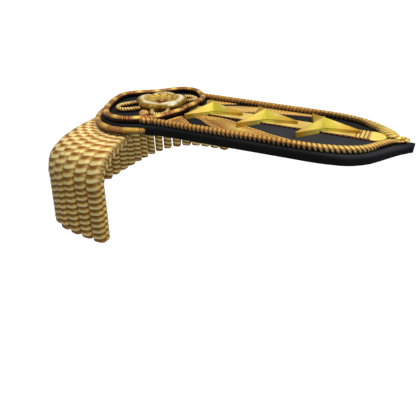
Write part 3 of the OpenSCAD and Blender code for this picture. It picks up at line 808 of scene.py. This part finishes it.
# Lace strip
# Distances in its weave, its point, its cross stripes and the dark blocks along its front edge
TWILL, POINT_RIBS, STRIPE_STEP, BLOCK_STEP = 1.8, 1.1, 1.8, 2.6
POINT_FROM, STRIPES_FROM, STRIPES_TO = 53.2, 45.9, 52.8
LACE_DARK, LACE_LIT, POINT_DARK, POINT_LIT, POINT_EDGE, TIP_UNDER, STRIPE, BORDER, BLOCK, FAR_EDGE = tones(
    (176, 118, 44), (255, 232, 124), (244, 200, 88), (255, 240, 124), (120, 68, 34), (196, 142, 70),
    (140, 80, 44), (104, 54, 28), (22, 12, 8), (214, 164, 88))


def make_strip():
    """Lace strip: woven ground, dark blocks along its front edge, cross stripes and a ribbed point."""
    bend = 54.5
    x = np.concatenate([np.linspace(STRIP_START, bend, 620),
                        bend + (STRIP_TIP - bend) * np.linspace(0, 1, 40)[1:] ** 0.8])
    k = np.clip((x - 54.7) / (STRIP_TIP - 54.7), 0, 1)
    half = STRIP_HALF * np.maximum(0.02, (1 - k**1.9) ** 0.75)[:, None]
    yy = half * np.linspace(-1, 1, 73)
    xx = np.broadcast_to(x[:, None], yy.shape)
    rim = np.minimum(1, (half - np.abs(yy)) / 0.5)
    point = ramp(xx, POINT_FROM, 0.6)
    weave = (np.cos(TURN * (xx + yy) / TWILL) * (0.6 + 0.4 * np.cos(TURN * (xx - yy) / TWILL))
             * (1 - point))
    ribs = np.cos(TURN * (xx + np.abs(yy) * 0.35) / POINT_RIBS) * point
    near, far = ramp(-yy, 5.05, 0.25) * (1 - point), ramp(yy, 5.3, 0.3) * (1 - point)
    stripes = (ramp(np.cos(TURN * (xx - 46.9) / STRIPE_STEP), 0.15, 0.4)
               * ramp(xx, STRIPES_FROM, 0.3) * ramp(xx, STRIPES_TO, -0.3))
    rise = STRIP_THICK * (0.55 + 0.45 * np.sqrt(np.maximum(0, 1 - (1 - rim) ** 2))) - 0.06
    rise = rise + 0.06 * weave * (1 - near) * (1 - far) + 0.05 * ribs - 0.14 * stripes
    points, faces = pad(xx, yy, strap_at(yy) + GAP, rise)

    border = mixed(BORDER, BLOCK, ramp(np.cos(TURN * xx / BLOCK_STEP), 0.2, 0.4))
    cloth = mixed(LACE_DARK, LACE_LIT, smooth(0.6 + 0.8 * weave + 0.16 * np.sin(xx * 0.55)),
                  mixed(POINT_DARK, POINT_LIT, 0.6 + 0.5 * ribs), point,
                  border, near, FAR_EDGE, far * 0.8, STRIPE, stripes * 0.9,
                  POINT_EDGE, ramp(rim, 0.4, -0.3) * point * (yy < 0))
    under = mixed(border, TIP_UNDER, ramp(xx, 53, 1))
    tint = np.concatenate([cloth.reshape(-1, 3), under.reshape(-1, 3)])
    return piece("middle_strip_weave", (points, faces, tint), LACE, "middle_strip")


# Leaves
# For the front and the back leaves: colour of the inner and outer part, and of the slanted gaps
LEAF_TONES = {-1: tones((214, 164, 78), (178, 120, 46), (134, 74, 32)),
              1: tones((255, 214, 108), (244, 192, 88), (112, 54, 24))}
SATIN_HIGHLIGHT, THREAD_GAP, LEAF_BED, LINE_DARK, LINE_LIT, LINE_OUTER = tones(
    (246, 212, 108), (110, 64, 28), (128, 74, 34), (206, 148, 72), (242, 194, 100), (210, 178, 98))


def star_outline():
    """Corners of a star about its middle: two at each blunt tip, one in each notch."""
    rows = []
    for k in range(3):
        a, n = math.radians(120 * k), math.radians(120 * k + 60)
        c, s = np.array([math.cos(a), math.sin(a)]), np.array([-math.sin(a), math.cos(a)])
        rows += [STAR_R * c - STAR_TIP / 2 * s, STAR_R * c + STAR_TIP / 2 * s,
                 STAR_NOTCH * np.array([math.cos(n), math.sin(n)])]
    return np.array(rows)


def off_stars(x, y):
    """Distance from the nearest star's outline, below zero inside it."""
    outline = star_outline()
    best = np.full(np.shape(x), 1e9)
    for i in (-1, 0, 1):
        px, py = x - i * STAR_PITCH, y
        inside, near = np.zeros(np.shape(x), bool), np.full(np.shape(x), 1e9)
        for (ax, ay), (bx, by) in zip(outline, np.roll(outline, -1, 0)):
            dx, dy = bx - ax, by - ay
            t = np.clip(((px - ax) * dx + (py - ay) * dy) / (dx**2 + dy**2), 0, 1)
            near = np.minimum(near, np.hypot(px - ax - t * dx, py - ay - t * dy))
            inside ^= ((ay > py) != (by > py)) & (px < dx * (py - ay) / (dy + 1e-12) + ax)
        best = np.minimum(best, np.where(inside, -near, near))
    return best


def make_leaf(name, rows, side, ahead=0.0):
    """Embroidered leaf on the front (side -1) or the back, moved along x by ahead.

    Two raised lines run round a field of slanted stitches, and it is pressed flat under the stars.
    """
    x, t = np.linspace(rows[0, 0], rows[-1, 0], 320), np.linspace(0, 1, 65)
    inner = along(rows, x, 1)[:, None]
    width = np.maximum(0.25, along(rows, x, 2)[:, None] - inner)
    y = inner + width * t
    xx = np.broadcast_to(x[:, None] + ahead, y.shape)
    rim = np.minimum(np.minimum(t, 1 - t) * width, np.minimum(x - x[0], x[-1] - x)[:, None] + 0.05)
    line_1, line_2 = bell(rim, 0.6, 0.5, 4), bell(rim, 2.2, 0.45, 4)
    field = ramp(rim, 2.6, 0.5)
    slant = np.cos(TURN * ((xx * 0.8 + y * 0.6) / 1.5 if side < 0 else (xx + y * 0.1) / 1.9))
    rise = (0.22 + 0.3 * line_1 + 0.24 * line_2 + field * (0.2 + 0.12 * smooth(rim / 5))
            + 0.035 * slant * field)
    rise = np.minimum(rise, LEAF_THICK - 0.02) * smooth(rim / 0.12 + 0.25)
    clear = off_stars(xx, y * side)
    rise = np.where(clear < 0.7, 0.02 + (rise - 0.02) * ramp(clear, 0.2, 0.5), rise)
    points, faces = pad(xx, y * side, strap_at(y) + 0.03, rise)

    # Painted satin highlights, then the gaps between the stitches and the two lines
    satin_highlight = (bell(xx, -29, 6.5) * ramp(t, 0.6, -0.35) + bell(xx, -7, 9) * bell(t, 0.45, 0.25)
             + bell(xx, 17, 6) * bell(t, 0.5, 0.3))
    calm = np.minimum(1, satin_highlight)
    inner_tone, outer_tone, slant_gap = LEAF_TONES[side]
    if side < 0:
        threads = ramp(ripple(TURN * rim / 1.7), 0.45, 0.4)
        gaps = (THREAD_GAP, (0.75 - 0.5 * calm) * threads * field,
                slant_gap, (0.75 - 0.35 * calm) * ramp(-slant, 0.1, 0.6) * field)
    else:
        gaps = slant_gap, (0.8 - 0.3 * calm) * ramp(-slant, 0.2, 0.4) * field
    checks = smooth(np.cos(TURN * (xx + 0.9 * rim) / 2.2) + 0.6)
    thread = mixed(LINE_DARK, mixed(LINE_LIT, LINE_OUTER, ramp(t, 0.4, 0.2)), checks)
    tint = mixed(inner_tone, outer_tone, ramp(t, 0.15, 0.6), SATIN_HIGHLIGHT, satin_highlight, *gaps,
                 LEAF_BED, (1 - field) * 0.9, thread, np.maximum(line_1, line_2))
    tint = np.concatenate([tint.reshape(-1, 3), np.tile(BROWN, (y.size, 1))])
    return piece(name + "_stitched", (points, faces, tint), STITCH, name)


make_strip()
make_leaf("leaf_front_1", LEAF_1, -1)
make_leaf("leaf_front_2", LEAF_2, -1)
make_leaf("leaf_back_1", LEAF_1, 1)
make_leaf("leaf_back_2", LEAF_2, 1, 2.0)


# Stars
# Heights above which the edges are rounded and the faces cut finer, and where the side walls end
ROUND_FROM, FINE_FROM, WALL_TO = 5.6, 5.2, 7.0
# Edges longer than this are cut in two, up to four times
LONGEST = 1.6
STAR_LEFT, STAR_LEFT_OUT, STAR_RIGHT, STAR_RIGHT_OUT, STAR_REFLECTION_PATCH, STAR_TIPS = tones(
    (206, 184, 78), (194, 160, 74), (186, 168, 50), (190, 152, 56), (214, 202, 128), (174, 134, 32))
STAR_WALL, STAR_WALL_OUT, STAR_WALL_TIPS, STAR_BACK_SHADE = tones(
    (224, 226, 92), (206, 176, 74), (176, 132, 30), (196, 156, 0))


def star_tint(x, y, z):
    """Lemon yellow in the middle to a deeper gold at the tips, by place from the star's middle. The right
    facets are painted darker and greener as shaded facets, with a pale painted reflection patch, and the back
    arm is painted in shade.
    """
    reach = np.hypot(x, y) / STAR_R
    right = ramp(x, 0.1, 0.5)
    wall = mixed(STAR_WALL, STAR_WALL_OUT, ramp(reach, 0.25, 0.3), STAR_WALL_TIPS, ramp(reach, 0.62, 0.35))
    return mixed(STAR_LEFT, STAR_LEFT_OUT, ramp(reach, 0.2, 0.7),
                 mixed(STAR_RIGHT, STAR_RIGHT_OUT, ramp(reach, 0.25, 0.35)), right,
                 STAR_REFLECTION_PATCH, 0.75 * bell(x, 6.5, 2.2) * bell(y, 0.6, 1.6),
                 STAR_TIPS, ramp(reach, 0.6, 0.38) * (0.5 + 0.5 * right),
                 wall, ramp(z, WALL_TO, -0.3), STAR_BACK_SHADE, 0.92 * ramp(y, 2, 1.5) * ramp(x, 2, -2))


def make_star(number):
    """The CAD star with its edges rounded and its faces cut finer, to carry its colours."""
    name = f"star_{number}"
    mesh = bpy.data.meshes.new(name)
    b = bmesh.new()
    b.from_mesh(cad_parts[name].data)
    bmesh.ops.remove_doubles(b, verts=b.verts, dist=1e-7)
    bmesh.ops.dissolve_limit(b, angle_limit=math.radians(1), verts=b.verts, edges=b.edges)
    sharp = [e for e in b.edges if len(e.link_faces) == 2 and e.calc_face_angle(0) > math.radians(14)
             and min(v.co.z for v in e.verts) > ROUND_FROM * MM]
    bmesh.ops.bevel(b, geom=sharp, offset=0.16 * MM, offset_type="OFFSET", segments=2, profile=0.6,
                    affect="EDGES", clamp_overlap=True)
    bmesh.ops.triangulate(b, faces=b.faces)
    for _ in range(4):
        long = [e for e in b.edges
                if e.calc_length() > LONGEST * MM and max(v.co.z for v in e.verts) > FINE_FROM * MM]
        bmesh.ops.subdivide_edges(b, edges=long, cuts=1, use_grid_fill=False)
        bmesh.ops.triangulate(b, faces=b.faces)
    bmesh.ops.recalc_face_normals(b, faces=b.faces)
    b.to_mesh(mesh)
    b.free()
    x, y, z = (np.array([v.co for v in mesh.vertices]) / MM).T
    paint_points(mesh, star_tint(x - (number - 2) * STAR_PITCH, y, z))
    mesh.polygons.foreach_set("use_smooth", [False] * len(mesh.polygons))
    return dress(name + "_metal", mesh, STAR, name)


for number in (1, 2, 3):
    make_star(number)


# Rosette
# Points round the petals and round the button
ROSETTE_AROUND, BUTTON_AROUND = 260, 60
# Angle of the petals that face the photograph, in degrees
SEEN_FROM = 305
BEADS, BEAD_SEED, BEAD_R, BEAD_UP = 900, 5, 0.52, 0.34
WALL_TONE, RIDGE_HIGHLIGHT, STREAK_LIT, STREAK_DARK, FOOT_SHADE, BEAD_DARK, BEAD_LIT, RING_TONE = tones(
    (184, 150, 52), (255, 250, 214), (156, 124, 38), (116, 86, 24), (118, 68, 26), (158, 112, 16),
    (252, 234, 130), (132, 70, 26))
BUTTON_TOP, BUTTON_FOOT = tones((172, 128, 52), (112, 50, 22))
# Section of the button: share of radius, height
BUTTON_ROWS = np.array([
    (0.0, 0.0), (0.9, 0.0), (1.0, 0.12), (1.0, 0.34), (0.95, 0.46), (0.88, 0.5), (0.84, 0.56),
    (0.8, 0.72), (0.7, 0.95), (0.55, 1.14), (0.38, 1.27), (0.2, 1.36), (0.06, 1.4), (0.0, 1.4)])


def rosette_rows():
    """Section of the petals in fine rows: row of PETAL, share of the radius, share of the height."""
    index = np.column_stack([np.arange(len(PETAL)), PETAL])
    k = np.concatenate([[0, 0.5, 1.0], np.linspace(1.12, 8.9, 84), [9.0]])
    share = np.where(k < 1, np.interp(k, [0, 1], PETAL[:2, 0]), along(index, k, 1))
    share = share + 0.06 * ramp(k, 2.2, -1.2) * (k >= 1) - 0.045 * bell(k, 5.8, 1.0)
    return k, share, np.where(k < 1, 0, along(index, k, 2))


def strewn_beads(x, y, rows):
    """On the given rows of a grid: how high a strewn bead stands there, 0 to 1, and how much it glints."""
    rng = np.random.default_rng(BEAD_SEED)
    angle = rng.uniform(0, TURN, BEADS)
    reach = np.sqrt(rng.uniform(0.2**2, 0.8**2, BEADS)) * ROSETTE_R
    brightness = rng.uniform(0, 1, BEADS) ** 1.6
    tree = KDTree(BEADS)
    for n in range(BEADS):
        tree.insert((ROSETTE_X + reach[n] * math.cos(angle[n]), reach[n] * math.sin(angle[n]), 0), n)
    tree.balance()
    high, glint = np.zeros_like(x), np.zeros_like(x)
    for n in rows:
        for m in range(x.shape[1]):
            _, nearest, away = tree.find((x[n, m], y[n, m], 0))
            high[n, m], glint[n, m] = max(0.0, 1 - (away / BEAD_R) ** 2), brightness[nearest]
    return high, glint


def make_rosette():
    """Five petals round a sunk middle that is strewn with beads."""
    a = np.linspace(0, TURN, ROSETTE_AROUND, endpoint=False)
    wave = np.abs(np.cos(PETALS * (a - math.radians(PETAL_TURN)) / 2 + np.pi / 2)) ** 0.5
    crease, seen = 1 - wave, np.cos(a - math.radians(SEEN_FROM))
    k, share, height = rosette_rows()
    behind = 1 - 0.4 * ramp(seen, 0.3, -1.0)
    radial = np.interp(k, [0, 3.8, 5.4, 7.2, 8.2], [1, 1, 0.8, 0.8, 0])[:, None]
    sink = np.interp(k, [2, 3, 7.2, 8.2], [0, 1, 1, 0])[:, None]
    k, share, height = k[:, None], share[:, None], height[:, None]
    r = ROSETTE_R * share * (1 - radial * 0.24 * behind * crease)
    x, y = ROSETTE_X + r * np.cos(a), r * np.sin(a)
    foot = top_at(x, y) + 2.5 * GAP
    low = ramp(k, 1.6, -0.6)
    lifted = BOARD_THICK + height * PETAL_UP - 1.5 * sink * behind * crease
    bead, glint = strewn_beads(x, y, np.flatnonzero(k > 5.2))
    inside = ramp(k, 5.5, 0.8) * ramp(k, 9.2, -0.4)
    z = np.maximum(foot, lifted * (1 - low) + foot * low)
    z = z + BEAD_UP * np.sqrt(bead) * inside - 0.1 * inside
    faces = grid_faces(len(k), ROSETTE_AROUND, wrap=True).tolist()
    faces.append(list(range(ROSETTE_AROUND - 1, -1, -1)))
    faces.append(list(range(z.size - ROSETTE_AROUND, z.size)))

    # Painted highlight along the petals' ridge, strongest in three places; streaked walls; painted shade at
    # the foot and in the creases; beads with painted glints, lighter on the lit side; ring
    right, left, far = (bell(np.degrees(a), at, width) for at, width in ((330, 22), (188, 26), (20, 14)))
    creased = crease**0.7
    spread = 0.6 + 0.2 * ramp(seen, -0.2, 0.8) + 0.6 * right + 0.3 * left + 0.4 * far
    ridge = smooth(1.25 - np.abs(k - 5.6 + 0.9 * right + 0.3 * far) / spread)
    ridge = ridge * (1 - 0.3 * left) * (0.95 - 0.85 * creased)
    streaks = mixed(STREAK_LIT, STREAK_DARK, ripple(a * 46 + 2.0 * np.sin(a * 11)))
    lit_side = 0.35 + 0.65 * smooth((8 - (x - ROSETTE_X) + y) / 14)
    beads = mixed(BEAD_DARK, BEAD_LIT, bead * (0.1 + 0.9 * glint) * lit_side)
    tint = mixed(WALL_TONE, RIDGE_HIGHLIGHT, ridge, streaks, ramp(k, 5.0, -0.8) * (1 - 0.85 * ridge * right),
                 FOOT_SHADE, ramp(k, 4.2, -2.2) * (0.2 + 0.8 * creased),
                 beads, inside, RING_TONE, ramp(share, 0.27, -0.03))
    shape = np.dstack([x, y, z]).reshape(-1, 3), faces, tint.reshape(-1, 3)
    return piece("rosette_petals", shape, PETAL_METAL, "rosette")


def make_button():
    """Domed button with a collar and a fine rope round its foot."""
    share, high = finer(BUTTON_ROWS, False, 1).T[..., None]
    a = np.linspace(0, TURN, BUTTON_AROUND, endpoint=False)
    rope = ((high < 0.52) & (high > 0.02)) * 0.035 * np.cos(20 * a)
    r = BUTTON_R * np.clip(share, 0, 0.965) * (1 + rope)
    z = BOARD_THICK + 0.46 * PETAL_UP + GAP + np.clip(high, 0, 1.4) + 0 * r
    points = np.dstack([ROSETTE_X + r * np.cos(a), r * np.sin(a), z]).reshape(-1, 3)
    tint = mixed(BUTTON_TOP, BUTTON_FOOT, ramp(high, 0.9, -0.3) * np.ones_like(r)).reshape(-1, 3)
    faces = grid_faces(len(share), BUTTON_AROUND, wrap=True).tolist()
    return piece("button_dome", (points, faces, tint), BUTTON, "rosette_button")


make_rosette()
make_button()


# Fringe
# Random seed, and steps along a strand's bend, its hanging length and the head band
STRAND_SEED, BEND_STEPS, HANG_STEPS, BAND_STEPS = 11, 90, 59, 240
# Distance from wire to wire in the bend, and how much less it is where the strand hangs
BULLION_PITCH, PITCH_LESS = 4.4, 1.0
# Turn of the painted curl round a strand, and how square its section is
CURL, STRAND_SQUARE = 2.6, 4.6
# Wires of a strand: dark and half dark and pale, each in the bend and, in painted shade, where it hangs
WIRE_DARK, WIRE_DARK_LOW, WIRE_HALF, WIRE_HALF_LOW, WIRE_PALE, WIRE_PALE_LOW = tones(
    (168, 96, 14), (114, 75, 2), (214, 152, 62), (150, 108, 32), (251, 222, 140), (207, 190, 128))
# Painted highlight on a turn's lip, the sides, the strokes, the inner curl, the cut end and the head band
WIRE_LIP_HIGHLIGHT, STRAND_SIDE, STROKE_LIT, STROKE_DARK, INSIDE_LIT, INSIDE_DARK, STRAND_END, BAND_TONE = tones(
    (255, 238, 176), (84, 62, 30), (214, 182, 104), (140, 84, 16), (255, 236, 150), (160, 98, 24),
    (150, 92, 40), (140, 104, 54))


def head(f, out):
    """Points on the line of the strand roots at shares f of its turn, moved out by millimetres."""
    a = np.radians(-ROOT_FIRST - f * (360 - 2 * ROOT_FIRST))
    return np.column_stack([ROUND_X + (ROUND_A - ROOT_IN + out) * np.cos(a),
                            (ROUND_B - ROOT_IN + out) * np.sin(a)])


def fringe_plans():
    """Line of the strand ends and line of the strand roots from above, as in part.scad."""
    a = np.radians(-90 + 1.5 * np.arange(121))
    n = np.where(np.sin(a) < 0, SQUARE_FRONT, SQUARE_BACK)
    x = FRINGE_X - FRINGE_A * np.abs(np.cos(a)) ** (2 / n)
    y = FRINGE_B * np.sign(np.sin(a)) * np.abs(np.sin(a)) ** (2 / n)
    return (np.concatenate([np.column_stack([x, y]), [[FRINGE_X + BACK_RUN, FRINGE_B]]]),
            head(np.arange(121) / 120, 0))


def strand_paths(tips, roots, bend):
    """Route of each strand: out and down in a bend from its root, then straight to its tip."""
    z = ROOT_Z - BEND_DROP * (1 - (1 - bend**BEND_SQUARE) ** (1 / BEND_SQUARE))
    hang = np.linspace(0, 1, HANG_STEPS + 1)[1:, None]
    paths = []
    for tip, root in zip(tips, roots):
        first = np.column_stack([root + BEND_REACH * (tip - root) * bend[:, None], z])
        paths.append(np.concatenate([first, first[-1] + (np.append(tip, END_Z) - first[-1]) * hang]))
    return paths


def strand_relief(p, s, a):
    """Rounded square section, its wire with a lip on the outer side and a slanted curl on the inner."""
    inner = ramp(np.sin(a), -0.1, 0.5)
    lip = smooth(p / 0.85) * (1 - ramp(p, 0.88, 0.12))
    curl = ripple(TURN * p - CURL * a)
    square = (np.abs(np.cos(a)) ** STRAND_SQUARE + np.abs(np.sin(a)) ** STRAND_SQUARE) ** (-1 / STRAND_SQUARE)
    return square * (0.93 + 0.07 * ((1 - inner) * lip + inner * (1 - curl)))


def strand_paint(knee, end, shade):
    """Colour of a strand that hangs from length knee on and ends at length end, in painted shade where it
    hangs.
    """
    def paint(p, s, a):
        hanging, hang_shade = ramp(s - knee, -15, 18), ramp(s - knee, -26, 20)
        side = np.cos(a)
        # Outer side: a pale wire with a painted highlight on its lip, and a dark lens-shaped band of painted
        # shade under the turn above
        lens = np.maximum(bell(side, -0.12, 1.04, 4), 0.95 * hanging * ramp(side, 0.8, -0.3))
        fade = 1 - ramp(p - 0.04 * hanging, 0.3, 0.4)
        dark = mixed(mixed(WIRE_DARK, WIRE_DARK_LOW, hang_shade), mixed(WIRE_HALF, WIRE_HALF_LOW, hang_shade),
                     ramp(p, 0.24, 0.4))
        fine = ripple(TURN * p * (2 - hanging.round()) - 2.4 * a)
        strokes = mixed(STROKE_LIT, STROKE_DARK, ramp(fine, 0.35, 0.4))
        inside = mixed(INSIDE_LIT, INSIDE_DARK, ramp(ripple(TURN * p - CURL * a), 0.35, 0.3))
        colour = mixed(WIRE_PALE, WIRE_PALE_LOW, hang_shade, WIRE_LIP_HIGHLIGHT, ramp(p, 0.72, 0.2) * (1 - hang_shade),
                       dark, fade * (0.12 + 0.88 * lens), STRAND_SIDE, 0.85 * ramp(np.abs(side), 0.92, 0.07),
                       strokes, ramp(side + 0.14 * hanging, 0.74, 0.2), inside, ramp(np.sin(a), -0.1, 0.5),
                       STRAND_END, 0.7 * ramp(s - end, -1.5, 0.8))
        return colour * (1 + 0.05 * shade)
    return paint


def strand(line, half_wide, half_high, side, shade):
    """One strand, by half its width and height at each point of its line."""
    knee = line.s[BEND_STEPS - 1]

    def slim(s):
        return 1 - 0.05 * ramp(s - line.length, -1.2, 1.2)

    def wide(s):
        return line.value(s, half_wide) * slim(s)

    def high(s):
        return line.value(s, half_high) * slim(s)

    def pitch(s):
        return BULLION_PITCH - PITCH_LESS * ramp(s - knee, -19, 12)

    def lean(s, a):
        return (0.9 - 0.65 * ramp(s - knee, -15, 18)) * np.sin(a) ** 2

    return screw(line, wide, high, pitch, 1, 10, 18, strand_relief, strand_paint(knee, line.length, shade),
                 side=side, lean=lean)


def head_band(root_plan):
    """Band under the rim that holds the strand roots, ribbed like a woven tape."""
    s = run(root_plan)
    f = np.interp(np.linspace(0.012, 0.988, BAND_STEPS) * s[-1], s, np.arange(len(s)) / (len(s) - 1))
    inner, outer = head(f, -3), head(f, 2.6)
    low, high = ROOT_Z - 2.6, float(low_at(-80, 40)) - 0.2
    rib = 0.12 * np.cos(TURN * np.arange(BAND_STEPS) / 4)[:, None] * unit(outer - inner)
    corners = ((inner, high), (outer, high), (outer + rib, (low + high) / 2),
               (outer, low), (inner, low), (inner - rib, (low + high) / 2))
    points = np.stack([np.column_stack([plan, np.full(BAND_STEPS, z)]) for plan, z in corners], 1)
    n = BAND_STEPS * len(corners)
    faces = grid_faces(BAND_STEPS, len(corners), wrap=True).tolist()
    faces += [[5, 4, 3, 2, 1, 0], list(range(n - 6, n))]
    return points.reshape(-1, 3), faces, np.tile(BAND_TONE, (n, 1)), np.zeros((sum(map(len, faces)), 2))


def make_fringe():
    """Bullion strands side by side round the rim, none wider than its neighbours leave room for."""
    def share_on(plan, f):
        """Points at shares f of a plan's length."""
        s = run(plan)
        return np.stack([np.interp(f * s[-1], s, plan[:, c]) for c in (0, 1)], -1)

    tip_plan, root_plan = fringe_plans()
    f = np.arange(STRANDS) / (STRANDS - 1)
    tips, roots = share_on(tip_plan, f), share_on(root_plan, f)
    bend = 1 - (1 - np.linspace(0, 1, BEND_STEPS)) ** 2.2
    paths = strand_paths(tips, roots, bend)
    wide = STRAND_R * np.concatenate([np.maximum(0.8, along(STRAND, bend, 1)), np.ones(HANG_STEPS)])
    high = STRAND_R * np.concatenate([along(STRAND, bend, 2), np.ones(HANG_STEPS)])
    rng = np.random.default_rng(STRAND_SEED)
    shapes = []
    for k, path in enumerate(paths):
        side = np.cross([0.0, 0.0, 1.0], unit(np.append(tips[k] - roots[k], 0)))
        half = wide
        for b in (k - 1, k + 1):
            if 0 <= b < STRANDS:
                half = np.minimum(half, 0.495 * np.abs((paths[b] - path) @ side))
        shapes.append(strand(Line(path), half, high, side, rng.uniform(-1, 1)))
    shapes.append(head_band(root_plan))
    return piece("fringe_bullion", joined(shapes), BULLION, "fringe")


make_fringe()


# Floor, light and camera, in metres and degrees
FLOOR_HALF, FLOOR_Z = 30.0, -0.7
KEY_FROM, KEY_SPREAD, KEY_STRENGTH, SKY_STRENGTH = (0.34, -0.12, 1.0), 55, 2.55, 0.42
# The photograph's camera, as fitted to it; lens and sensor in millimetres
CAMERA_X, CAMERA_Y, CAMERA_Z = 0.063644, -0.182675, 0.068840
YAW, PITCH, ROLL = -27.861, 32.013, -0.486
LENS, SENSOR = 31.771, 36


def make_floor():
    """Wide pale floor far below the part, that throws no light back on it."""
    mesh = bpy.data.meshes.new("floor")
    h, z = FLOOR_HALF, FLOOR_Z
    mesh.from_pydata([(-h, -h, z), (h, -h, z), (h, h, z), (-h, h, z)], [], [(0, 1, 2, 3)])
    m = bpy.data.materials.new("floor_paper")
    m.use_nodes = True
    m.node_tree.nodes["Principled BSDF"].inputs["Base Color"].default_value = (0.95, 0.95, 0.95, 1)
    m.node_tree.nodes["Principled BSDF"].inputs["Roughness"].default_value = 0.9
    mesh.materials.append(m)
    o = bpy.data.objects.new("floor", mesh)
    bpy.context.scene.collection.objects.link(o)
    o.visible_diffuse = False
    o.visible_glossy = False


def make_light():
    """Soft key light from above and an even white sky."""
    data = bpy.data.lights.new("key", "SUN")
    data.angle, data.energy = math.radians(KEY_SPREAD), KEY_STRENGTH
    o = bpy.data.objects.new("key", data)
    o.location = (-0.2, 0.1, 0.6)
    o.rotation_mode = "QUATERNION"
    o.rotation_quaternion = (-Vector(KEY_FROM)).to_track_quat("-Z", "Y")
    bpy.context.scene.collection.objects.link(o)
    world = bpy.data.worlds.new("studio")
    world.use_nodes = True
    world.node_tree.nodes["Background"].inputs["Color"].default_value = (1, 1, 1, 1)
    world.node_tree.nodes["Background"].inputs["Strength"].default_value = SKY_STRENGTH
    bpy.context.scene.world = world
    bpy.context.scene.view_settings.view_transform = "Standard"


def make_camera():
    """Camera from its place and angles: yaw from the y axis, pitch downwards, roll about its view."""
    yaw, pitch, roll = math.radians(YAW), math.radians(PITCH), math.radians(ROLL)
    ahead = Vector((math.sin(yaw) * math.cos(pitch), math.cos(yaw) * math.cos(pitch), -math.sin(pitch)))
    right = Vector((math.cos(yaw), -math.sin(yaw), 0))
    up = right.cross(ahead)
    r = math.cos(roll) * right + math.sin(roll) * up
    u = -math.sin(roll) * right + math.cos(roll) * up
    data = bpy.data.cameras.new("camera")
    data.sensor_width, data.lens = SENSOR, LENS
    data.clip_start, data.clip_end = 0.005, 100
    o = bpy.data.objects.new("camera", data)
    o.matrix_world = Matrix(((r.x, u.x, -ahead.x, CAMERA_X), (r.y, u.y, -ahead.y, CAMERA_Y),
                             (r.z, u.z, -ahead.z, CAMERA_Z), (0, 0, 0, 1)))
    bpy.context.scene.collection.objects.link(o)
    bpy.context.scene.camera = o


make_floor()
make_light()
make_camera()
